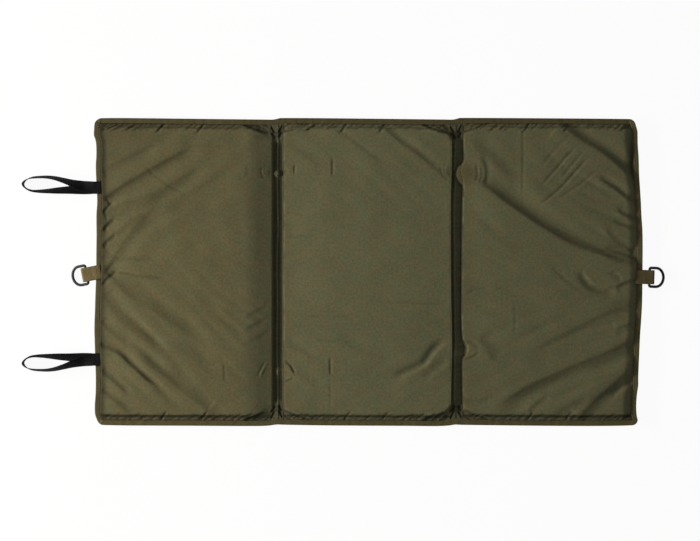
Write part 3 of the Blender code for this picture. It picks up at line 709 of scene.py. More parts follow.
def mesh_object(name, points, faces, material, uv=None, painted_shade=None, warm=None):
    """A smooth mesh with faces outwards, its own UV map in metres, and shares of painted shade and of
    warmer colour per point. Painted shade below 0 paints light."""
    mesh = bpy.data.meshes.new(name)
    mesh.from_pydata(np.asarray(points, float).tolist(), [], faces)
    mesh.materials.append(material)
    mesh.shade_smooth()
    loops = np.zeros(len(mesh.loops), int)
    mesh.loops.foreach_get("vertex_index", loops)
    flat = np.asarray(points, float)[:, :2] if uv is None else np.asarray(uv, float)
    layer = mesh.uv_layers.new(name="UVMap")
    layer.data.foreach_set("uv", flat[loops].astype(np.float32).ravel())
    share = np.zeros(len(points)) if painted_shade is None else np.asarray(painted_shade, float).ravel()
    mesh.attributes.new("painted_shade", "FLOAT", "POINT").data.foreach_set("value", share.astype(np.float32))
    if warm is not None:
        tint = np.asarray(warm, float).ravel().astype(np.float32)
        mesh.attributes.new("warm", "FLOAT", "POINT").data.foreach_set("value", tint)
    mesh.update()
    return linked(name, mesh)


def grid_faces(rows, columns, offset=0):
    """The faces of a grid of points, row by row."""
    n = np.arange(rows * columns).reshape(rows, columns) + offset
    quads = np.stack([n[:-1, :-1], n[:-1, 1:], n[1:, 1:], n[1:, :-1]], axis=-1)
    return quads.reshape(-1, 4).tolist()


def rim_of(rows, columns):
    """Indices round a grid's border, anticlockwise seen from above."""
    n = np.arange(rows * columns).reshape(rows, columns)
    return np.concatenate([n[0, :-1], n[:-1, -1], n[-1, :0:-1], n[:0:-1, 0]])


def wall(lower, upper):
    """Faces between two rings of points, given by their indices."""
    return np.column_stack([lower, np.roll(lower, -1), np.roll(upper, -1), upper]).tolist()


def under_rim(grid, floor_z):
    """A grid's points with a copy of its rim at floor_z, and the faces that close both."""
    skin = grid.reshape(-1, 3)
    rim = rim_of(*grid.shape[:2])
    under = skin[rim].copy()
    under[:, 2] = floor_z
    below = len(skin) + np.arange(len(rim))
    faces = grid_faces(*grid.shape[:2]) + wall(below, rim) + [below[::-1].tolist()]
    return np.vstack([skin, under]), faces


def pad_half(name, grid, floor_z, finish, uv, painted_shade, warm, upwards):
    """A closed body between a shaped grid of points and a flat face at floor_z inside the pad."""
    points, faces = under_rim(grid, floor_z)
    if not upwards:
        faces = [face[::-1] for face in faces]
    rim = rim_of(*grid.shape[:2])
    looks = (uv.reshape(-1, 2), painted_shade.ravel(), warm.ravel())
    looks = (np.concatenate([values, values[rim]]) for values in looks)
    return mesh_object(name, laid_out(points), faces, finish_named(finish), *looks)


def faces_outwards(mesh, caps=0):
    """Turn a closed mesh's faces outwards and leave its last ones, the caps, with sharp edges."""
    bm = bmesh.new()
    bm.from_mesh(mesh)
    bmesh.ops.recalc_face_normals(bm, faces=bm.faces)
    for cap in list(bm.faces)[len(bm.faces) - caps :]:
        cap.smooth = False
        for edge in cap.edges:
            edge.smooth = False
    bm.to_mesh(mesh)
    bm.free()


def closed_sweep(name, origins, sides, ups, section, finish, painted_shade=None, lay=False):
    """A closed section carried along stations. section is in metres along each side and up vector."""
    section = np.asarray(section, float)
    count, around = len(origins), len(section)
    across = sides[:, None, :] * section[None, :, :1]
    upwards = ups[:, None, :] * section[None, :, 1:2]
    points = (origins[:, None, :] + across + upwards).reshape(-1, 3)
    ring = np.arange(around)
    faces = []
    for n in range(count - 1):
        faces += wall(ring + n * around, ring + (n + 1) * around)
    faces += [ring.tolist(), (ring + (count - 1) * around).tolist()]
    length, girth = (
        np.concatenate([[0], np.cumsum(np.linalg.norm(np.diff(line, axis=0), axis=1))])
        for line in (origins, section)
    )
    uv = np.stack(np.broadcast_arrays(girth[None, :], length[:, None]), axis=-1).reshape(-1, 2)
    shade = None if painted_shade is None else np.repeat(painted_shade, around)
    item = mesh_object(name, laid_out(points) if lay else points, faces, finish_named(finish), uv, shade)
    faces_outwards(item.data, caps=2)
    return item


def strip_section(width, thickness, corner=0.45):
    """The rounded section of a flat band, with points across it for a soft crown."""
    half, deep = width / 2, thickness / 2
    across = np.linspace(-1, 1, 13)
    crown = deep * (1 - (1 - corner) * np.abs(across) ** 10)
    upper = np.stack([across * half, crown], axis=1)
    return np.vstack([upper, -upper])


# ---- Cloth simulation

# How many frames the cloth moves for, how far its closed underside hangs below its rim, and how
# wide a crease's steep side has to be, in mm, to show on its coarse grid
CLOTH_FRAMES = 20
SKIRT = 4 * MM
BROAD_CREASE = 5
CLOTH = {
    "quality": 6,
    "mass": 0.15,
    "tension_stiffness": 12,
    "compression_stiffness": 12,
    "shear_stiffness": 6,
    "bending_stiffness": 0.35,
    "use_pressure": True,
    "uniform_pressure_force": 4.0,
    "shrink_min": -0.004,
    "vertex_group_mass": "sewn",
}


def settled(name, grid, pinned, cap):
    """How cloth sewn down at its rim moves under the foam's push, as offsets per grid point."""
    skin = grid.reshape(-1, 3)
    rim = rim_of(*grid.shape[:2])
    points, faces = under_rim(grid, skin[rim, 2] - SKIRT)
    mesh = bpy.data.meshes.new(name)
    mesh.from_pydata(points.tolist(), [], faces)
    cloth = linked(name, mesh)
    held = np.concatenate([pinned.ravel(), np.ones(len(rim), bool)])
    cloth.vertex_groups.new(name="sewn").add(np.nonzero(held)[0].tolist(), 1.0, "REPLACE")
    modifier = cloth.modifiers.new("cloth", "CLOTH")
    for key, value in CLOTH.items():
        setattr(modifier.settings, key, value)
    modifier.settings.effector_weights.gravity = 0
    modifier.collision_settings.use_collision = False
    modifier.point_cache.frame_start = 1
    modifier.point_cache.frame_end = CLOTH_FRAMES
    scene = bpy.context.scene
    for step in range(1, CLOTH_FRAMES + 1):
        scene.frame_set(step)
    shape = cloth.evaluated_get(bpy.context.evaluated_depsgraph_get())
    moved = np.zeros(len(shape.data.vertices) * 3)
    shape.data.vertices.foreach_get("co", moved)
    offset = moved.reshape(-1, 3)[: len(skin)] - skin
    scene.frame_set(1)
    bpy.data.objects.remove(cloth, do_unlink=True)
    bpy.data.meshes.remove(mesh)
    size = np.linalg.norm(offset, axis=1, keepdims=True)
    offset *= cap * np.tanh(size / cap) / np.maximum(size, 1e-9)
    return offset.reshape(grid.shape)


def sample_grid(values, coarse_x, coarse_y, x, y):
    """Values on a coarse grid read smoothly at finer grid lines."""

    def spread(data, coarse, fine):
        place = np.interp(fine, coarse, np.arange(len(coarse)))
        n = np.minimum(place.astype(int), len(data) - 2)
        around = (np.clip(n + k, 0, len(data) - 1) for k in (-1, 0, 1, 2))
        return spline(*(data[k] for k in around), (place - n).reshape(-1, 1, 1))

    rows = spread(values, coarse_y, y)
    return np.swapaxes(spread(np.swapaxes(rows, 0, 1), coarse_x, x), 0, 1)


# ---- Materials

MATH = "ShaderNodeMath"
MIX = "ShaderNodeMix"
RANGE = "ShaderNodeMapRange"
NOISE = "ShaderNodeTexNoise"
ATTRIBUTE = "ShaderNodeAttribute"
FLAT = {"noise_dimensions": "2D"}

# What browner cloth keeps of its colour, the share of plain white in what the camera sees of the
# board, and the strength of the light from all round
BROWNING = (1.02, 0.93, 0.85, 1.0)
BOARD_WHITE = 0.94
WORLD_LIGHT = 0.21


def add_node(tree, kind, settings=None, inputs=()):
    """A node with its settings and inputs. An input is a value, the socket that feeds it or a node
    whose first output does, given by name or in order."""
    node = tree.nodes.new(kind)
    for key, value in (settings or {}).items():
        setattr(node, key, value)
    for key, value in inputs.items() if isinstance(inputs, dict) else enumerate(inputs):
        if isinstance(value, bpy.types.Node):
            value = value.outputs[0]
        if isinstance(value, bpy.types.NodeSocket):
            tree.links.new(value, node.inputs[key])
        else:
            node.inputs[key].default_value = value
    return node


def new_material(name, roughness, sheen=0.0, specular=0.5):
    """A material with its node tree and its shader."""
    material = bpy.data.materials.new(name)
    material.use_nodes = True
    tree = material.node_tree
    shader = tree.nodes["Principled BSDF"]
    shader.inputs["Roughness"].default_value = roughness
    shader.inputs["Sheen Weight"].default_value = sheen
    shader.inputs["Sheen Roughness"].default_value = 0.45
    shader.inputs["Specular IOR Level"].default_value = specular
    return material, tree, shader


def dressed(tree, shader, colour, tone, relief, depth_mm, strength):
    """Give the shader a colour times a tone, and a relief of this depth."""
    how = {"data_type": "RGBA", "blend_type": "MULTIPLY"}
    shade = add_node(tree, MIX, how, {0: 1.0, 6: colour, 7: tone})
    inputs = {"Height": relief, "Distance": depth_mm * MM, "Strength": strength}
    bump = add_node(tree, "ShaderNodeBump", {}, inputs)
    tree.links.new(shade.outputs[2], shader.inputs["Base Color"])
    tree.links.new(bump.outputs[0], shader.inputs["Normal"])


def toned(tree, shade_range, *spreads):
    """What the painted shade makes of a colour, times further sources. The first tuple is the painted
    shade's lowest and highest value and the two tones they become, so that painted shade below 0 is painted
    light, and each spread is a source and the same four numbers."""
    painted_shade = add_node(tree, ATTRIBUTE, {"attribute_name": "painted_shade"}).outputs["Fac"]
    tone = add_node(tree, RANGE, {}, (painted_shade, *shade_range))
    for spread in spreads:
        part = add_node(tree, RANGE, {}, spread)
        tone = add_node(tree, MATH, {"operation": "MULTIPLY"}, (tone, part))
    return tone


def yarns(tree, uv, spacing_mm):
    """The rise and fall of yarns across and along the UV map, whose unit is a metre."""
    turns = np.pi / (spacing_mm * MM)
    scaled = add_node(tree, "ShaderNodeVectorMath", {"operation": "SCALE"}, {0: uv, "Scale": turns})
    split = add_node(tree, "ShaderNodeSeparateXYZ", {}, (scaled,)).outputs
    return [add_node(tree, MATH, {"operation": "SINE"}, (split[n],)) for n in (0, 1)]


def hue_patches(tree, uv, colour, period_mm, spread):
    """The colour turned a little warmer and greener from patch to patch, and browner where the warm
    attribute is set, which on the left panel is painted warm light.
    """
    red, green, blue = colour
    warmer = (red * (1 + spread), green, blue * (1 - spread * 0.4), 1.0)
    greener = (red * (1 - spread), green * (1 + spread * 0.3), blue * (1 + spread * 0.4), 1.0)
    noise = add_node(tree, NOISE, FLAT, {"Vector": uv, "Scale": 1 / (period_mm * MM)})
    share = add_node(tree, RANGE, {}, (noise, 0.36, 0.64))
    plain = {"data_type": "RGBA"}
    patches = add_node(tree, MIX, plain, {0: share, 6: warmer, 7: greener}).outputs[2]
    inputs = {0: 1.0, 6: BROWNING, 7: patches}
    browner = add_node(tree, MIX, {**plain, "blend_type": "MULTIPLY"}, inputs).outputs[2]
    warm_share = add_node(tree, ATTRIBUTE, {"attribute_name": "warm"}).outputs["Fac"]
    return add_node(tree, MIX, plain, {0: warm_share, 6: patches, 7: browner}).outputs[2]


def coated_polyester(name, colour, roughness):
    """Plain-woven polyester with a thin coating: an even matt cloth, faintly shiny along folds.
    Its threads are 0.35 mm apart and are drawn 0.7 mm apart, so that a close view shows them."""
    material, tree, shader = new_material(name, roughness, 0.03, 0.12)
    uv = add_node(tree, "ShaderNodeUVMap", {"uv_map": "UVMap"})
    weave = add_node(tree, MATH, {"operation": "MULTIPLY"}, yarns(tree, uv, 0.7))
    clouds = add_node(tree, NOISE, FLAT, {"Vector": uv, "Scale": 1 / (70 * MM), "Detail": 3.0})
    inputs = {"Vector": uv, "Scale": 1 / (4.2 * MM), "Roughness": 0.75}
    specks = add_node(tree, NOISE, FLAT, inputs)
    tone = toned(
        tree,
        (-0.8, 1.35, 1.5, 0.16),
        (clouds, 0.3, 0.7, 0.95, 1.05),
        (specks, 0.3, 0.7, 0.86, 1.14),
        (weave, -1.0, 1.0, 0.96, 1.04),
    )
    shine = add_node(tree, NOISE, FLAT, {"Vector": uv, "Scale": 1 / (40 * MM)})
    rough = add_node(tree, RANGE, {}, (shine, 0.3, 0.7, roughness - 0.05, roughness + 0.05))
    tree.links.new(rough.outputs[0], shader.inputs["Roughness"])
    dressed(tree, shader, hue_patches(tree, uv, colour, 21, 0.05), tone, weave, 0.05, 0.5)
    return material


def ribbed_band(name, colour, roughness, rib_mm, fine_mm, across_ribs, contrast=0.1, sheen=0.1):
    """A narrow woven band: ribs of rib_mm with the finer yarn of fine_mm crossing them."""
    material, tree, shader = new_material(name, roughness, sheen, 0.12)
    uv = add_node(tree, "ShaderNodeUVMap", {"uv_map": "UVMap"})
    wide, fine = yarns(tree, uv, rib_mm), yarns(tree, uv, fine_mm)
    rib, yarn = (wide[1], fine[0]) if across_ribs else (wide[0], fine[1])
    weave = add_node(tree, MATH, {"operation": "MULTIPLY_ADD"}, (yarn, 0.4, rib))
    clouds = add_node(tree, NOISE, FLAT, {"Vector": uv, "Scale": 1 / (14 * MM), "Detail": 3.0})
    tone = toned(
        tree,
        (-0.8, 1.0, 1.44, 0.45),
        (clouds, 0.3, 0.7, 0.92, 1.08),
        (weave, -1.4, 1.4, 1 - contrast, 1 + contrast),
    )
    dressed(tree, shader, (*colour, 1.0), tone, weave, 0.12, 0.6)
    return material


def painted_steel(name, colour):
    """Bent steel wire under black paint: smooth and satin, with faint unevenness of the dip."""
    material, tree, shader = new_material(name, 0.5, 0.0, 0.3)
    place = add_node(tree, "ShaderNodeTexCoord").outputs["Object"]
    uneven = add_node(tree, NOISE, {}, {"Vector": place, "Scale": 420.0})
    tone = add_node(tree, RANGE, {}, (uneven, 0.3, 0.7, 0.85, 1.15))
    rough = add_node(tree, RANGE, {}, (uneven, 0.3, 0.7, 0.42, 0.58))
    tree.links.new(rough.outputs[0], shader.inputs["Roughness"])
    dressed(tree, shader, (*colour, 1.0), tone, uneven, 0.04, 0.4)
    return material


def spun_thread(name, colour):
    """Twisted polyester thread: matt, with the twist seen as fine diagonal light and dark."""
    material, tree, shader = new_material(name, 0.7, 0.15, 0.3)
    place = add_node(tree, "ShaderNodeTexCoord").outputs["Object"]
    inputs = {"Vector": place, "Scale": 700.0, "Distortion": 0.4}
    turns = add_node(tree, "ShaderNodeTexWave", {"bands_direction": "DIAGONAL"}, inputs)
    twist = turns.outputs["Fac"]
    tone = add_node(tree, RANGE, {}, (twist, 0.0, 1.0, 0.85, 1.15))
    dressed(tree, shader, (*colour, 1.0), tone, twist, 0.05, 0.5)
    return material


def seen_by(tree, *kinds):
    """1 for the rays of these kinds and 0 for others."""
    paths = add_node(tree, "ShaderNodeLightPath").outputs
    seen = paths[f"Is {kinds[0]} Ray"]
    for kind in kinds[1:]:
        seen = add_node(tree, MATH, {"operation": "MAXIMUM"}, (seen, paths[f"Is {kind} Ray"]))
    return seen


def white_board(name):
    """A white studio board that fades to plain white for the camera and keeps a soft shadow."""
    material = bpy.data.materials.new(name)
    material.use_nodes = True
    tree = material.node_tree
    tree.nodes.clear()
    seen = seen_by(tree, "Camera", "Glossy", "Transmission")
    share = add_node(tree, MATH, {"operation": "MULTIPLY"}, (seen, BOARD_WHITE))
    matt = add_node(tree, "ShaderNodeBsdfDiffuse", {}, ((0.9, 0.9, 0.9, 1.0),))
    plain = add_node(tree, "ShaderNodeEmission", {}, ((1.0, 1.0, 1.0, 1.0), 1.0))
    board = add_node(tree, "ShaderNodeMixShader", {}, (share, matt, plain))
    add_node(tree, "ShaderNodeOutputMaterial", {}, {"Surface": board})
    return material


def finish_named(kind):
    """The material for a kind of finish, made at its first use."""
    found = bpy.data.materials.get(FINISHES[kind][0])
    return found or FINISHES[kind][1](FINISHES[kind][0], bpy.context.scene.mat_colours)


FINISHES = {
    "cover": ("coated_polyester_olive", lambda name, c: coated_polyester(name, c.cover, 0.72)),
    "base": ("coated_polyester_base", lambda name, c: coated_polyester(name, c.base, 0.76)),
    "tape": (
        "grosgrain_binding_tape",
        lambda name, c: ribbed_band(name, c.tape, 0.75, 0.9, 0.45, True),
    ),
    "webbing": (
        "ribbed_polyester_webbing",
        lambda name, c: ribbed_band(name, c.webbing, 0.78, 1.1, 0.6, True, 0.14),
    ),
    "elastic": (
        "woven_black_elastic",
        lambda name, c: ribbed_band(name, c.elastic, 0.8, 1.0, 0.6, False, 0.25, 0.0),
    ),
    "ring": ("black_painted_steel", lambda name, c: painted_steel(name, c.ring)),
    "thread": ("olive_sewing_thread", lambda name, c: spun_thread(name, c.thread)),
    "dark_thread": ("black_sewing_thread", lambda name, c: spun_thread(name, c.ring)),
}


# ---- Geometry Nodes


def stitch_tree():
    """Stitches along a line: a rounded thread end to end at an even pitch."""
    found = bpy.data.node_groups.get("stitch_run")
    if found:
        return found
    sizes = bpy.context.scene.mat_sizes
    tree = bpy.data.node_groups.new("stitch_run", "GeometryNodeTree")
    face = tree.interface
    face.new_socket("Geometry", in_out="INPUT", socket_type="NodeSocketGeometry")
    for label, value in (
        ("Pitch", sizes.stitch_pitch),
        ("Stitch Length", sizes.stitch_length),
        ("Thread Width", sizes.thread_width),
    ):
        socket = face.new_socket(label, in_out="INPUT", socket_type="NodeSocketFloat")
        socket.default_value = value
        socket.subtype = "DISTANCE"
    face.new_socket("Thread", in_out="INPUT", socket_type="NodeSocketMaterial")
    face.new_socket("Geometry", in_out="OUTPUT", socket_type="NodeSocketGeometry")
    start = add_node(tree, "NodeGroupInput").outputs
    run = add_node(tree, "GeometryNodeMeshToCurve", {}, {"Mesh": start["Geometry"]})
    inputs = {"Curve": run, "Length": start["Pitch"]}
    even = add_node(tree, "GeometryNodeResampleCurve", {"mode": "LENGTH"}, inputs)
    tangent = add_node(tree, "GeometryNodeInputTangent")
    turn = add_node(tree, "FunctionNodeAlignRotationToVector", {"axis": "X"}, {"Vector": tangent})
    inputs = {"Segments": 6, "Rings": 5, "Radius": 0.5}
    ball = add_node(tree, "GeometryNodeMeshUVSphere", {}, inputs)
    inputs = (start["Stitch Length"], start["Thread Width"], start["Thread Width"])
    size = add_node(tree, "ShaderNodeCombineXYZ", {}, inputs)
    thread = add_node(tree, "GeometryNodeTransform", {}, {"Geometry": ball, "Scale": size})
    inputs = {"Points": even, "Instance": thread, "Rotation": turn}
    stitches = add_node(tree, "GeometryNodeInstanceOnPoints", {}, inputs)
    real = add_node(tree, "GeometryNodeRealizeInstances", {}, {"Geometry": stitches})
    inputs = {"Geometry": real, "Material": start["Thread"]}
    done = add_node(tree, "GeometryNodeSetMaterial", {}, inputs)
    add_node(tree, "NodeGroupOutput", {}, (done,))
    return tree


def sewn_lines(name, lines, kind="thread", lay=True):
    """One plain mesh of stitches along several lines of points."""
    sizes = bpy.context.scene.mat_sizes
    points, edges = np.vstack(lines), []
    first = 0
    for line in lines:
        edges += [(first + n, first + n + 1) for n in range(len(line) - 1)]
        first += len(line)
    mesh = bpy.data.meshes.new(name)
    mesh.from_pydata((laid_out(points) if lay else points).tolist(), edges, [])
    run = linked(name + "_run", mesh)
    tree = stitch_tree()
    modifier = run.modifiers.new("stitches", "NODES")
    modifier.node_group = tree
    values = {
        "Pitch": sizes.stitch_pitch,
        "Stitch Length": sizes.stitch_length,
        "Thread Width": sizes.thread_width,
        "Thread": finish_named(kind),
    }
    for socket in tree.interface.items_tree:
        if socket.in_out == "INPUT" and socket.name in values:
            modifier[socket.identifier] = values[socket.name]
    bpy.context.view_layer.update()
    shape = run.evaluated_get(bpy.context.evaluated_depsgraph_get())
    result = bpy.data.meshes.new_from_object(shape)
    bpy.data.objects.remove(run, do_unlink=True)
    if not result.polygons:
        raise RuntimeError(f"{name} has no stitches")
    result.name = name
    result.shade_smooth()
    return linked(name, result)


# ---- Pieces


def panel_creases(name):
    """Every crease of one panel's top, in mm."""
    low, high = PANELS[name][0] / MM + 6, PANELS[name][1] / MM - 6
    rows = {"left": LEFT_CREASES, "middle": MIDDLE_CREASES, "right": RIGHT_CREASES}[name]
    tape = (BACK_EDGE - TAPE_BAND) / MM
    seed = PLEAT_SEEDS[name]
    rows += pleats(name, low, high, tape, -1, seed) + pleats(name, low, high, -tape, 1, seed + 1)
    for channel, way, panel in CHANNEL_SIDES:
        if panel == name:
            rows += gathers(channel, way, tape, -1) + gathers(channel, way, -tape, 1)
    return rows


def top_height(name, x, y, sizes):
    """Height of a pad's top without its creases, and its fullness from 0 at the flange to 1."""
    low, high, low_edge, high_edge = PANELS[name]
    start = low + (TAPE_BAND - 1 * MM if low_edge else TOP_GAP)
    end = high - (TAPE_BAND - 1 * MM if high_edge else TOP_GAP)
    side = BACK_EDGE - TAPE_BAND
    full = rounded_rise(x - start, sizes.edge_wall if low_edge else sizes.short_wall)
    if name == "left":
        full = full * slope_rise(end - x, sizes.slope_even, sizes.slope_ease)
    elif name == "middle":
        slope = slope_rise(end - x, *MIDDLE_SLOPE)
        full = full * (WALL_SHARE * rounded_rise(end - x, MIDDLE_WALL) + SLOPE_SHARE * slope)
    else:
        full = full * slope_rise(end - x, *RIGHT_SLOPE)
    drawn_in = corner_draw(name, low / MM, high / MM, x / MM) * MM
    full = full * rounded_rise(y + side - drawn_in, sizes.long_wall * FRONT_WIDER)
    full = full * rounded_rise(side - y - drawn_in, sizes.long_wall)
    across = (2 * x - start - end) / (end - start)
    along = y / side
    crown = np.maximum(0, 1 - across**2) * np.maximum(0, 1 - along**2)
    rise = sizes.plateau - SEAM - FLANGE
    lowered = rise * full * (1 - hollowed(x / MM, y / MM)[0])
    height = SEAM + FLANGE + lowered + sizes.crown * crown * full
    return height + fold_level(x / MM, y / MM) * MM * (1 - full), full


def undulation(x, y, seed, count=9):
    """Slow unevenness of cloth over foam, about -1 to 1, with x and y in mm."""
    rng = np.random.default_rng(seed)
    total = np.zeros(x.shape)
    for _ in range(count):
        angle, period, phase = rng.uniform(0, np.pi), rng.uniform(26, 75), rng.uniform(0, 6.28)
        total += np.sin((x * np.cos(angle) + y * np.sin(angle)) * 2 * np.pi / period + phase)
    return total / np.sqrt(count)


def soft_waves(name, x, y):
    """The long soft waves of a cover, in mm."""
    total = np.zeros(x.shape)
    for number, (panel, mid_x, mid_y, half_x, half_y, degrees, period, height) in enumerate(WAVES):
        if panel != name:
            continue
        rng = np.random.default_rng(300 + number)
        reach = soft_patch(x, y, mid_x, mid_y, half_x, half_y)
        wave_sum = np.zeros(x.shape)
        for _ in range(7):
            angle = np.radians(degrees + 90 + rng.uniform(-13, 13))
            turns = 2 * np.pi / (period * rng.uniform(0.7, 1.7))
            wave_sum += np.sin((x * np.cos(angle) + y * np.sin(angle)) * turns + rng.uniform(0, 6.28))
        sharp = wave_sum / 2.6
        total += reach * height * (sharp - 0.35 * np.abs(sharp))
    return total


def dark_patch_share(name, x, y):
    """How much darker a cover is painted at each point, all over and in its patches, mostly as painted
    shade.
    """
    total = np.full(x.shape, PANEL_DARKENING[name])
    for panel, mid_x, mid_y, half_x, half_y, share in DARK_PATCHES:
        if panel == name:
            total += share * soft_patch(x, y, mid_x, mid_y, half_x, half_y)
    return total


def warmth(x, y):
    """Where the cloth is painted browner: the left panel, where it is the warm key light's tint painted on,
    and beside the folds.
    """
    share = 0.75 * smooth((-170 - x) / 60)
    for centre in (-134, 168):
        share = share + 0.7 * np.exp(-(((x - centre) / 9) ** 2)) * (0.6 + 0.4 * undulation(x * 0.5, y, 61))
    for mid_x, mid_y, radius, most in BROWNED:
        share = share + most * round_patch(x, y, mid_x, mid_y, radius, 0.5)
    return share.clip(0, 1.6)


def billowed(name, xs, ys, creases, sizes):
    """How the simulated cloth moves the points of a cover's grid."""
    low, high = PANELS[name][:2]
    coarse_x = np.linspace(low, high, round((high - low) / sizes.cloth_step) + 1)
    rows = round(2 * COVER_REACH / sizes.cloth_step) + 1
    coarse_y = np.linspace(-COVER_REACH, COVER_REACH, rows)
    x, y = into_corners(*np.meshgrid(coarse_x, coarse_y))
    height, full = top_height(name, x, y, sizes)
    broad = [row for row in creases if abs(row[3]) >= BROAD_CREASE]
    height = height + crease_heights(x / MM, y / MM, broad)[0] * smooth(full) * MM
    start = np.stack([x, y, height], axis=-1)
    moved = settled(f"{name}_cloth", start, full < 0.02, sizes.cloth_cap)
    return sample_grid(moved, coarse_x, coarse_y, xs, ys)


def rounded_off(z):
    """Heights eased to stay just under the pad's top, and not under the flange."""
    limit, ease = PAD_TOP + 0.1 * MM, 1.2 * MM
    over = np.maximum(z - (limit - ease), 0)
    eased = np.minimum(z, limit - ease) + ease * np.tanh(over / ease)
    return np.maximum(eased, SEAM + FLANGE)


def foot_shade(name, x, y, ys, walls):
    """The painted shade of a cover at its feet along the tape and beside the folds, in its hollows, and on
    the domes in the folds where they face the key light.
    """
    low, high, low_edge, high_edge = PANELS[name]
    inset = (COVER_REACH - np.abs(y)) / MM
    back_foot = 0.7 * np.exp(-(((inset - 6) / 5.5).clip(0) ** 2))
    front_foot = 0.5 * smooth((13 - inset) / 5) + 0.85 * np.exp(-(((inset - 14.5) / 3.2) ** 2))
    from_low = ((x - low) / MM - (7.8 if low_edge else 0)).clip(0)
    from_high = ((high - x) / MM - (7.8 if high_edge else 0)).clip(0)
    widths = np.random.default_rng(COVER_SEEDS[name] + 40).uniform(1.6, 3.0, len(ys[::5]))
    low_foot = 1.3 * np.exp(-((from_low / np.interp(y, ys[::5], widths)) ** 3))
    if low_edge:
        low_foot = np.maximum(low_foot, 0.85 * np.exp(-((from_low / 8.5) ** 3)))
    width, most = (3.0, 0.3) if high_edge else (1.5, 0.1)
    high_foot = most * np.exp(-((from_high / width) ** 2))
    dome = domed(x / MM, y / MM)
    hollow = hollowed(x / MM, y / MM)[1]
    fold_foot = np.maximum(low_foot * (1 - dome), high_foot)
    foot = np.maximum(np.where(y > 0, back_foot, front_foot), fold_foot)
    return np.maximum(np.maximum(foot, hollow), dome * (0.2 + 0.8 * walls))


class MAT_OT_top_covers(bpy.types.Operator):
    """Puff up, crease and pleat the three top covers over their foam"""

    bl_idname = "mat.top_covers"
    bl_label = "Top covers"

    def execute(self, context):
        sizes = context.scene.mat_sizes
        steps = sizes.edge_step, sizes.grid_step
        for name, (low, high, _, _) in PANELS.items():
            xs = steps_between(low, high, *steps, SIDE_BORDER, LONG_BORDER)
            ys = steps_between(-COVER_REACH, COVER_REACH, *steps, LONG_BORDER, LONG_BORDER)
            flat = np.meshgrid(xs, ys)
            x, y = into_corners(*flat)
            in_mm = x / MM, y / MM
            height, full = top_height(name, x, y, sizes)
            walls = lit_wall_shade(height, x)
            creases = panel_creases(name)
            inside = np.minimum(np.minimum(x - low, high - x), COVER_REACH - np.abs(y)) / MM
            hold = BILLOW_SHARE * smooth(full * 3.2) * smooth((inside - BILLOW_FROM) / BILLOW_FADE)
            offset = billowed(name, xs, ys, creases, sizes) * hold[..., None]
            lift, deep = crease_heights(*in_mm, creases)
            slow = undulation(*in_mm, COVER_SEEDS[name]) * 0.14 + soft_waves(name, *in_mm)
            height = height + (lift * smooth(full * 2.4) + slow * smooth(full)) * MM
            points = np.stack([x, y, height], axis=-1) + offset
            points[..., 0] += seam_shift(*in_mm) * MM
            points[..., 2] = rounded_off(points[..., 2])
            # Painted shade: in the creases' valleys, in the darker patches, at the pads' feet, and on walls
            # and domes that face the key light
            painted_shade = deep + dark_patch_share(name, *in_mm) + foot_shade(name, x, y, ys, walls)
            looks = np.stack(flat, axis=-1), painted_shade.clip(0, 1.3), warmth(*in_mm)
            cover = pad_half(f"{name}_cover_top", points, SEAM + CUT, "cover", *looks, True)
            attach(cover, f"{name}_panel")
            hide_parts(f"{name}_top_cover", f"{name}_foam_pad")
        return {"FINISHED"}


class MAT_OT_base_covers(bpy.types.Operator):
    """Lay the three base covers flat under the pads, pleated into the tape"""

    bl_idname = "mat.base_covers"
    bl_label = "Base covers"

    def execute(self, context):
        steps = 1.5 * MM, 3.2 * MM
        wall_width = 15 * MM
        side = BACK_EDGE - TAPE_BAND
        for name, (low, high, low_edge, high_edge) in PANELS.items():
            xs = steps_between(low, high, *steps, SIDE_BORDER, SIDE_BORDER)
            ys = steps_between(-COVER_REACH, COVER_REACH, *steps, LONG_BORDER, LONG_BORDER)
            flat = np.meshgrid(xs, ys)
            x, y = into_corners(*flat)
            in_mm = x / MM, y / MM
            start = low + (TAPE_BAND - 1 * MM if low_edge else BASE_GAP)
            end = high - (TAPE_BAND - 1 * MM if high_edge else BASE_GAP)
            full = rounded_rise(x - start, wall_width) * rounded_rise(end - x, wall_width)
            full = full * rounded_rise(y + side, wall_width) * rounded_rise(side - y, wall_width)
            ends = low / MM + 6, high / MM - 6
            rows = pleats(name, *ends, side / MM, -1, 51 + len(name))
            rows += pleats(name, *ends, -side / MM, 1, 71 + len(name))
            lift, deep = crease_heights(*in_mm, rows)
            slow = np.abs(undulation(in_mm[0] * 0.45, in_mm[1] * 1.3, 90 + len(name), 5))
            slow = slow * 0.22 * smooth(full)
            height = (SEAM - FLANGE) * (1 - full) - lift * smooth(full * 2.4) * MM + slow * MM
            height = height.clip(0.0, SEAM - FLANGE)
            points = np.stack([x + seam_shift(*in_mm) * MM, y, height], axis=-1)
            # Painted shade in the pleats' valleys and along the base's sides
            painted_shade = (deep + 0.35 * (1 - smooth(full * 1.5))).clip(0, 1)
            looks = np.stack(flat, axis=-1), painted_shade, warmth(*in_mm)
            cover = pad_half(f"{name}_cover_base", points, SEAM - CUT, "base", *looks, False)
            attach(cover, f"{name}_panel")
            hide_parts(f"{name}_base_cover")
        return {"FINISHED"}


def bend_fold(piece, side):
    """Bake a piece over a fold into world space."""
    if side == "left":
        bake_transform(piece)
    else:
        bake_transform(piece)


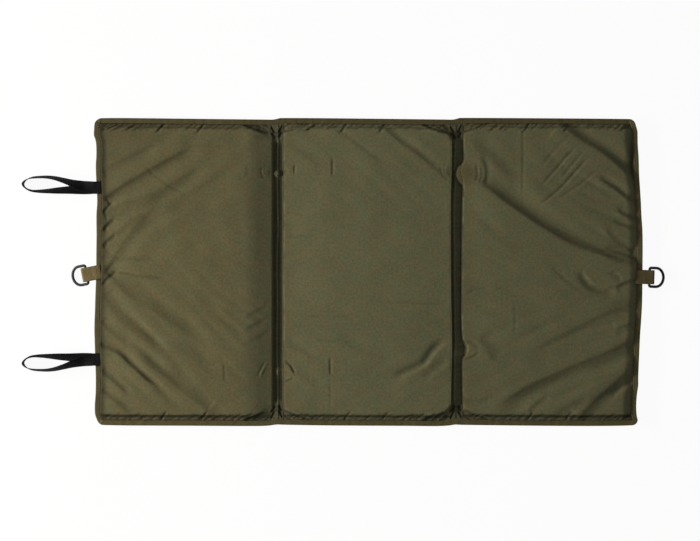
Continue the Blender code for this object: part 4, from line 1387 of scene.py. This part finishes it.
class MAT_OT_fold_webs(bpy.types.Operator):
    """Sew the two sunken fold webs, each with a raised seam and its gathers"""

    bl_idname = "mat.fold_webs"
    bl_label = "Fold webs"

    def execute(self, context):
        sizes = context.scene.mat_sizes
        for side, (low, high) in WEBS.items():
            centre = (low + high) / 2
            ys = np.linspace(-COVER_REACH, COVER_REACH, WEB_GRID[1])
            x, y = np.meshgrid(np.linspace(low, high, WEB_GRID[0]), ys)
            in_mm = x / MM, y / MM
            u = (x - centre) / (high - low) * 2
            rng = np.random.default_rng(5 if side == "left" else 6)
            seam_place, seam_half, seam_shade, right_shade, bank_from, bank = WEB_FORMS[side]
            drift, ripple = (
                np.interp(y[:, :1], np.linspace(-COVER_REACH, COVER_REACH, n), rng.uniform(-1, 1, n))
                for n in (DRIFT_PLACES, RIPPLE_PLACES)
            )
            drift = seam_place + drift * 0.09
            pinch = np.zeros(x.shape)
            for channel, place, strength in PINCHES:
                if abs(channel * MM - centre) < 2 * MM:
                    pinch += strength * np.exp(-(((in_mm[1] - place) / PINCH_REACH) ** 2))
            seam = np.exp(-(((u - drift) / (seam_half * (1 + 1.6 * pinch))) ** 2))
            left_bank = smooth((1 + u - bank_from) / bank)
            groove = left_bank * smooth((1 - u) / 0.12)
            near_end = smooth((np.abs(in_mm[1]) - END_FROM) / END_FADE)
            top = sizes.web_ridge * seam * (1 + 1.5 * pinch)
            top = top - sizes.web_dip * groove * (1 - 0.85 * near_end)
            top = top + (0.3 * ripple * groove + 0.2 * ripple * seam) * MM
            rows = []
            middle, tape = centre / MM, (BACK_EDGE - TAPE_BAND) / MM
            for way, hand in ((-1, -1), (-1, 1), (1, -1), (1, 1)):
                for places, depth in WEB_GATHERS:
                    line = tuple((middle + hand * out, way * (tape - inset)) for out, inset in places)
                    rows.append((line, 0.1, depth, way * hand * 1.6, 2.6))
            gathered, deep = crease_heights(*in_mm, rows, 0.1)
            fade = smooth((1 - np.abs(u)) / 0.1)
            fade = fade * smooth((COVER_REACH - np.abs(y) - UNDER_TAPE) / TAPE_EASE)
            dome = domed(*in_mm)
            upper = SEAM + FLANGE + (top + gathered * MM) * fade * (1 - dome) + fold_level(*in_mm) * MM
            lower = np.minimum(SEAM - FLANGE, upper - 1.5 * MM) - 0.3 * sizes.web_ridge * seam * fade
            moved_x = x + seam_shift(*in_mm) * MM
            skins = [np.stack([moved_x, y, z], axis=-1).reshape(-1, 3) for z in (upper, lower)]
            rim = rim_of(*x.shape)
            faces = grid_faces(*x.shape) + [face[::-1] for face in grid_faces(*x.shape, x.size)]
            faces += wall(x.size + rim, rim)

            # Painted shade down the channel, with painted light on the seam where it falls below 0. Ends
            # and domes that face the key light are darkened to look no brighter than level cloth, pinches
            # lighten it and gathers darken it, and the underside gets an even painted shade
            beyond = right_shade + 0.5 * (1 - right_shade) * smooth((u - 0.6) / 0.3)
            painted_shade = np.where(u > drift, beyond, 1.0) * left_bank * (1 - (1 - seam_shade) * seam)
            lit = lit_wall_shade(upper, x)
            painted_shade = painted_shade * (1 - near_end) + (0.5 + 0.8 * lit) * near_end
            painted_shade = painted_shade * (1 - 0.45 * pinch.clip(0, 1) * smooth(u + 0.4))
            painted_shade = painted_shade * (1 - dome) + dome * (0.4 + 0.8 * lit)
            painted_shade = painted_shade + 0.12 * ripple * groove + (0.6 + 1.2 * near_end) * deep
            painted_shade = np.concatenate([painted_shade.clip(-0.7, 1.3).ravel(), np.full(x.size, 0.3)])
            uv = np.tile(np.stack([x, y], axis=-1).reshape(-1, 2), (2, 1))
            looks = uv, painted_shade, np.tile(warmth(*in_mm).ravel(), 2)
            cloth = laid_out(np.vstack(skins)), faces, finish_named("cover")
            web = mesh_object(f"{side}_fold_strip", *cloth, *looks)
            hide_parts(f"{side}_fold_web")
            bend_fold(web, side)

            line_y = np.linspace(-SEAM_END, SEAM_END, 160)
            places = np.linspace(-COVER_REACH, COVER_REACH, DRIFT_PLACES)
            drifts = drift[:: len(ys) // DRIFT_PLACES, 0][:DRIFT_PLACES]
            wander = np.interp(line_y, places, drifts) * (high - low) / 2
            line_z = SEAM + FLANGE + sizes.web_ridge - sizes.web_dip + 0.05 * MM
            line = np.stack([centre + wander, line_y, np.full(len(line_y), line_z)], axis=1)
            seam_line = sewn_lines(f"{side}_fold_stitching", [line])
            bend_fold(seam_line, side)
        return {"FINISHED"}


def outline_corners():
    """The mat's rounded corners as lines of points, anticlockwise from the front right one."""
    centre = np.array([RIGHT_EDGE - CORNER_RADIUS, BACK_EDGE - CORNER_RADIUS])
    corners = []
    for number, ways in enumerate(((1, -1), (1, 1), (-1, 1), (-1, -1))):
        angle = (number - 1) * np.pi / 2 + np.linspace(0, np.pi / 2, 12)
        around = np.stack([np.cos(angle), np.sin(angle)], axis=1)
        corners.append(centre * ways + CORNER_RADIUS * around)
    return corners


def tape_stations(points):
    """Evenly spaced stations along a path of straight runs and corners, with inward normals."""
    points = np.asarray(points, float)
    steps = np.linalg.norm(np.diff(points, axis=0), axis=1)
    length = np.concatenate([[0], np.cumsum(steps)])
    count = max(4, round(length[-1] / TAPE_STEP))
    place = np.unique(np.concatenate([np.linspace(0, length[-1], count), length]))
    place = place[np.concatenate([[True], np.diff(place) > LEAST_STEP])]
    place[-1] = length[-1]
    path = np.stack([np.interp(place, length, points[:, n]) for n in (0, 1)], axis=1)
    ahead = headings(path)
    return path, np.stack([-ahead[:, 1], ahead[:, 0]], axis=1)


def tape_section():
    """The folded tape's section: x runs inwards from the edge, y is the height over the seam."""
    outer, inner = TAPE_HALF, 1.05 * MM
    angle = np.linspace(np.pi / 2, 3 * np.pi / 2, 9)
    nose = np.stack([0.9 * MM + 0.9 * MM * np.cos(angle), outer * np.sin(angle)], axis=1)
    top = [
        (TAPE_WIDTH, inner + 0.1 * MM),
        (TAPE_WIDTH + 0.15 * MM, outer - 0.25 * MM),
        (TAPE_WIDTH - 0.3 * MM, outer + 0.12 * MM),
        (TAPE_WIDTH - 1.0 * MM, outer),
        (TAPE_WIDTH * 0.6, outer + 0.05 * MM),
        (TAPE_WIDTH * 0.3, outer + 0.05 * MM),
    ]
    under = [(x, -y) for x, y in reversed(top)]
    slot = [(TAPE_WIDTH * 0.2, -inner), (TAPE_WIDTH * 0.2, inner)]
    return np.array([*top, *nose, *under, *slot])


class MAT_OT_bindings(bpy.types.Operator):
    """Fold the binding tape over the mat's edge and stitch it down on both faces"""

    bl_idname = "mat.bindings"
    bl_label = "Bindings"

    def execute(self, context):
        front_right, back_right, back_left, front_left = outline_corners()
        left_low, left_high = WEBS["left"]
        right_low, right_high = WEBS["right"]
        back, front = BACK_EDGE, -BACK_EDGE
        runs = {
            "right_edge_tape": [(right_high, front), *front_right, *back_right, (right_high, back)],
            "left_edge_tape": [(left_low, back), *back_left, *front_left, (left_low, front)],
            "middle_back_tape": [(right_low, back), (left_high, back)],
            "middle_front_tape": [(left_high, front), (right_low, front)],
            "right_fold_back_tape": [(right_high, back), (right_low, back)],
            "right_fold_front_tape": [(right_low, front), (right_high, front)],
            "left_fold_back_tape": [(left_high, back), (left_low, back)],
            "left_fold_front_tape": [(left_low, front), (left_high, front)],
        }
        stands_for = {
            "right_edge_tape": "right_binding",
            "left_edge_tape": "left_binding",
            "middle_back_tape": "middle_binding_back",
            "middle_front_tape": "middle_binding_front",
        }
        section = tape_section()
        for name, points in runs.items():
            path, inward = tape_stations(points)
            x, y = path[:, 0] / MM, path[:, 1] / MM
            rise = 0.12 * undulation(x * 3.1, y * 3.1, 201)
            wider = 1 + 0.03 * undulation(x * 2.3, y * 2.3, 202)
            thicker = 1 + 0.05 * undulation(x * 4, y * 4, 203)
            # The tape is painted paler along the right edge and the front as painted light, given as
            # negative painted shade
            tape_light = 0.75 * smooth((x - 436) / 10) + 0.25 * smooth((-y - 240) / 8)
            origins = np.column_stack([path, SEAM + rise * MM * 0.6])
            sides = np.column_stack([inward * wider[:, None], np.zeros(len(path))])
            stations = origins, sides, np.outer(thicker, (0.0, 0.0, 1.0))
            tape = closed_sweep(name, *stations, section, "tape", painted_shade=-tape_light, lay=True)
            sewn = path + inward * STITCH_INSET
            over = TAPE_HALF + 0.12 * MM
            lines = [np.column_stack([sewn, origins[:, 2] + way * over]) for way in (1, -1)]
            stitching = sewn_lines(name.replace("tape", "stitching"), lines)
            for piece in (tape, stitching):
                if "fold" in name:
                    bend_fold(piece, name.split("_")[0])
                else:
                    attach(piece, name.split("_")[0] + "_panel")
            if name in stands_for:
                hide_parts(stands_for[name])
        return {"FINISHED"}


def tab_frame(side):
    """The matrix of a tab's place: x points away from the mat, z up from the seam."""
    edge, y, slant = TABS[side]
    return Matrix.Translation((edge, y, SEAM)) @ Matrix.Rotation(np.radians(slant), 4, "Z")


def placed(points, matrix):
    """Rows of points moved by a matrix."""
    turn = np.array(matrix.to_3x3())
    return np.asarray(points) @ turn.T + np.array(matrix.translation)


class MAT_OT_webbing_tabs(bpy.types.Operator):
    """Fold the two webbing tabs round their ring bars and sew them over the tape"""

    bl_idname = "mat.webbing_tabs"
    bl_label = "Webbing tabs"

    def execute(self, context):
        sizes = context.scene.mat_sizes
        bar = 2.5 * MM + BAND_THICK / 2
        end = 20.95 * MM
        arc = [(end + bar * np.sin(a), bar * np.cos(a)) for a in np.linspace(0, np.pi, 15)]
        over = [(-7.5, 4.1), (-2, 4.3), (1.2, 4.25), (4.8, 4.0), (8.6, 3.75), (12.8, 3.5), (17, 3.3)]
        beneath = [(-7.5, -4.1), (-2, -4.3), (1.2, -3.6), (4.8, -0.2), (8.6, 2.35)]
        beneath += [(11.2, 1.3), (13.4, -1.6), (16.2, -3.25)]
        upper = curve_through([*(np.array(over) * MM), (end, bar)], 46)
        lower = curve_through([*(np.array(beneath) * MM), (end, -bar)], 46)
        line = np.vstack([upper[:-1], arc, lower[-2::-1]])
        ahead = headings(line)
        flat = np.zeros(len(line))
        section = strip_section(sizes.webbing_width, BAND_THICK)
        half = sizes.webbing_width / 2 - 2 * MM
        across = np.linspace(-half, half, STITCH_ROW)
        ends = np.ones(STITCH_ROW)
        for side in TABS:
            matrix = tab_frame(side)
            turn = np.array(matrix.to_3x3())
            origins = placed(np.column_stack([line[:, 0], flat, line[:, 1]]), matrix)
            ups = np.column_stack([-ahead[:, 1], flat, ahead[:, 0]]) @ turn.T
            wide = np.tile(turn @ np.array([0.0, 1.0, 0.0]), (len(line), 1))
            # The right tab is painted darker, as painted shade
            tab_shade = np.full(len(line), 0.4 if side == "right" else 0.0)
            tab = closed_sweep(f"{side}_tab_webbing", origins, wide, ups, section, "webbing", tab_shade)
            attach(tab, f"{side}_panel")
            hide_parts(f"{side}_webbing_tab")
            lines = []
            for x, above, below in ((-5.6, 4.17, -4.17), (-1.2, 4.3, -4.2), (8.6, 3.75, 2.35)):
                for way, z in ((1, above * MM), (-1, below * MM)):
                    height = z + way * (BAND_THICK / 2 + 0.05 * MM)
                    row = np.column_stack([ends * x * MM, across, ends * height])
                    lines.append(placed(row, matrix))
            stitching = sewn_lines(f"{side}_tab_stitching", lines, lay=False)
            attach(stitching, f"{side}_panel")
        return {"FINISHED"}


class MAT_OT_d_rings(bpy.types.Operator):
    """Bend the two D-rings from round wire, hung on their tabs and resting on the floor"""

    bl_idname = "mat.d_rings"
    bl_label = "D-rings"

    def execute(self, context):
        half, chamfer, arm, bow = 15.5 * MM, 3 * MM, 12 * MM, 13.5 * MM
        angles = np.linspace(0, np.pi, 49)
        outer = np.column_stack([arm + bow * np.sin(angles), -half * np.cos(angles)])
        turn = np.linspace(0, np.pi / 2, 9)
        less, more = chamfer - chamfer * np.cos(turn), chamfer - chamfer * np.sin(turn)
        bends = np.column_stack([less, more - half]), np.column_stack([more, half - less])
        line = np.vstack([bends[0], outer, bends[1]])
        count, around = len(line), 16
        circle = np.linspace(0, 2 * np.pi, around + 1)[:-1]
        radius = context.scene.mat_sizes.wire / 2
        nexts = np.roll(line, -1, axis=0) - np.roll(line, 1, axis=0)
        nexts /= np.linalg.norm(nexts, axis=1, keepdims=True)
        outwards = np.column_stack([nexts[:, 1], -nexts[:, 0], np.zeros(count)])
        centre = np.column_stack([line, np.zeros(count)])
        points = centre[:, None, :] + outwards[:, None, :] * (np.cos(circle) * radius)[None, :, None]
        points[..., 2] += np.sin(circle) * radius
        here = np.arange(count * around).reshape(count, around)
        there = np.roll(here, -1, axis=0)
        corners = [here, there, np.roll(there, -1, axis=1), np.roll(here, -1, axis=1)]
        faces = np.stack(corners, axis=-1).reshape(-1, 4).tolist()
        for side in TABS:
            hung = Matrix.Translation((RING_BAR_OUT, 0, 0)) @ Matrix.Rotation(RING_DROOP, 4, "Y")
            wire = placed(points.reshape(-1, 3), tab_frame(side) @ hung)
            ring = mesh_object(f"{side}_ring_wire", wire, faces, finish_named("ring"))
            faces_outwards(ring.data)
            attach(ring, f"{side}_ring")
            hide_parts(f"{side}_d_ring")
        return {"FINISHED"}


class MAT_OT_elastic_loops(bpy.types.Operator):
    """Twist the two elastic loops out from their sewn tails on the left edge"""

    bl_idname = "mat.elastic_loops"
    bl_label = "Elastic loops"

    def execute(self, context):
        sizes = context.scene.mat_sizes
        shares = curve_through(LOOP_SHARES, LOOP_STATIONS)
        out = np.clip(shares[:, 0], 0, 1) * LOOP_REACH
        sideways = shares[:, 1] * LOOP_SPREAD
        twist = np.pi / 2 * np.clip(shares[:, 2], 0, 1)
        layer = np.where(np.arange(LOOP_STATIONS) < LOOP_STATIONS / 2, LOOP_LAYER, -LOOP_LAYER)
        height = layer * np.cos(twist) - (LOOP_FLEX_Z - LOOP_TIP_Z) * np.sin(twist)
        tail = np.linspace(-LOOP_TAIL, -0.8 * MM, TAIL_STATIONS)
        level = np.zeros(TAIL_STATIONS)
        first = np.column_stack([tail, level + sideways[0], level + LOOP_LAYER, level])
        last = np.column_stack([tail[::-1], level + sideways[-1], level - LOOP_LAYER, level])
        rows = np.vstack([first, np.column_stack([out, sideways, height, twist]), last])
        section = strip_section(sizes.elastic_width, BAND_THICK)
        half = sizes.elastic_width / 2 - 2 * MM
        sewn_z = LOOP_FLEX_Z + LOOP_LAYER + BAND_THICK / 2 + 0.08 * MM
        for name, (place, way) in LOOPS.items():
            middles = np.column_stack(
                [LOOP_FLEX_X - rows[:, 0], place + way * rows[:, 1], LOOP_FLEX_Z + rows[:, 2]]
            )
            ahead = headings(middles)
            slant = rows[:, 3]
            across = np.column_stack([np.zeros(len(rows)), way * np.cos(slant), -np.sin(slant)])
            across -= ahead * (across * ahead).sum(1, keepdims=True)
            across /= np.linalg.norm(across, axis=1, keepdims=True)
            stations = middles, across, np.cross(ahead, across)
            loop = closed_sweep(f"{name}_loop_elastic", *stations, section, "elastic")
            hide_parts(f"{name}_elastic_loop", f"{name}_elastic_anchor")
            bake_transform(loop)
            y = np.linspace(place - half, place + half, STITCH_ROW)
            ends = np.ones(STITCH_ROW)
            lines = [
                np.column_stack([ends * (LEFT_EDGE + x), y, ends * sewn_z])
                for x in (2.0 * MM, 5.6 * MM)
            ]
            stitching = sewn_lines(f"{name}_loop_stitching", lines, "dark_thread", lay=False)
            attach(stitching, "left_panel")
        return {"FINISHED"}


class MAT_OT_stage(bpy.types.Operator):
    """Set the white board, the soft light from the left and the camera overhead"""

    bl_idname = "mat.stage"
    bl_label = "Stage"

    def execute(self, context):
        scene = context.scene
        mesh = bpy.data.meshes.new("studio_board")
        mesh.from_pydata([(-5, -5, 0), (5, -5, 0), (5, 5, 0), (-5, 5, 0)], [], [(0, 1, 2, 3)])
        mesh.materials.append(white_board("white_studio_board"))
        board = linked("studio_board", mesh)
        board.location.z = -0.05 * MM

        world = bpy.data.worlds.new("studio_world")
        world.use_nodes = True
        scene.world = world
        tree = world.node_tree
        background = tree.nodes["Background"]
        seen = seen_by(tree, "Camera", "Transmission")
        level = add_node(tree, RANGE, {}, (seen, 0.0, 1.0, WORLD_LIGHT, 1.0))
        tree.links.new(level.outputs[0], background.inputs["Strength"])
        background.inputs["Color"].default_value = (1.0, 1.0, 1.0, 1.0)

        for name, place, size, power, colour in LIGHTS:
            light = bpy.data.lights.new(name, "AREA")
            light.shape = "RECTANGLE"
            light.size, light.size_y = size
            light.energy = power
            light.color = linear(colour)
            lamp = linked(name, light)
            lamp.location = place
            lamp.rotation_euler = (-Vector(place)).to_track_quat("-Z", "X").to_euler()

        lens = bpy.data.cameras.new("overhead_camera")
        lens.lens, lens.sensor_width = LENS, SENSOR
        camera = linked("overhead_camera", lens)
        camera.location = (*SEEN_MIDDLE, SEEN_HEIGHT + SEEN_WIDTH * LENS / SENSOR)
        scene.camera = camera
        scene.view_settings.view_transform = "Standard"
        return {"FINISHED"}


class MAT_PT_sidebar(bpy.types.Panel):
    """Shows the mat's settings and its operators in the 3D view's sidebar"""

    bl_label = "Unhooking Mat"
    bl_idname = "MAT_PT_sidebar"
    bl_space_type = "VIEW_3D"
    bl_region_type = "UI"
    bl_category = "Unhooking Mat"

    def draw(self, context):
        layout = self.layout
        for settings in (context.scene.mat_sizes, context.scene.mat_colours):
            column = layout.column()
            for key in settings.bl_rna.properties.keys():
                if key not in ("rna_type", "name"):
                    column.prop(settings, key)
        for operator in OPERATORS:
            layout.operator(operator.bl_idname)


OPERATORS = (
    MAT_OT_stage,
    MAT_OT_top_covers,
    MAT_OT_base_covers,
    MAT_OT_fold_webs,
    MAT_OT_bindings,
    MAT_OT_webbing_tabs,
    MAT_OT_d_rings,
    MAT_OT_elastic_loops,
)
CLASSES = (MatSizes, MatColours, *OPERATORS, MAT_PT_sidebar)


def register():
    """Add the mat's operators, panel and settings."""
    for item in CLASSES:
        bpy.utils.register_class(item)
    bpy.types.Scene.mat_sizes = bpy.props.PointerProperty(type=MatSizes)
    bpy.types.Scene.mat_colours = bpy.props.PointerProperty(type=MatColours)


def unregister():
    """Take them away again."""
    del bpy.types.Scene.mat_colours
    del bpy.types.Scene.mat_sizes
    for item in reversed(CLASSES):
        bpy.utils.unregister_class(item)


def main():
    """Build the whole scene."""
    register()
    bpy.ops.mat.stage()
    bpy.ops.mat.top_covers()
    bpy.ops.mat.base_covers()
    bpy.ops.mat.fold_webs()
    bpy.ops.mat.bindings()
    bpy.ops.mat.webbing_tabs()
    bpy.ops.mat.d_rings()
    bpy.ops.mat.elastic_loops()


if __name__ == "__main__":
    main()
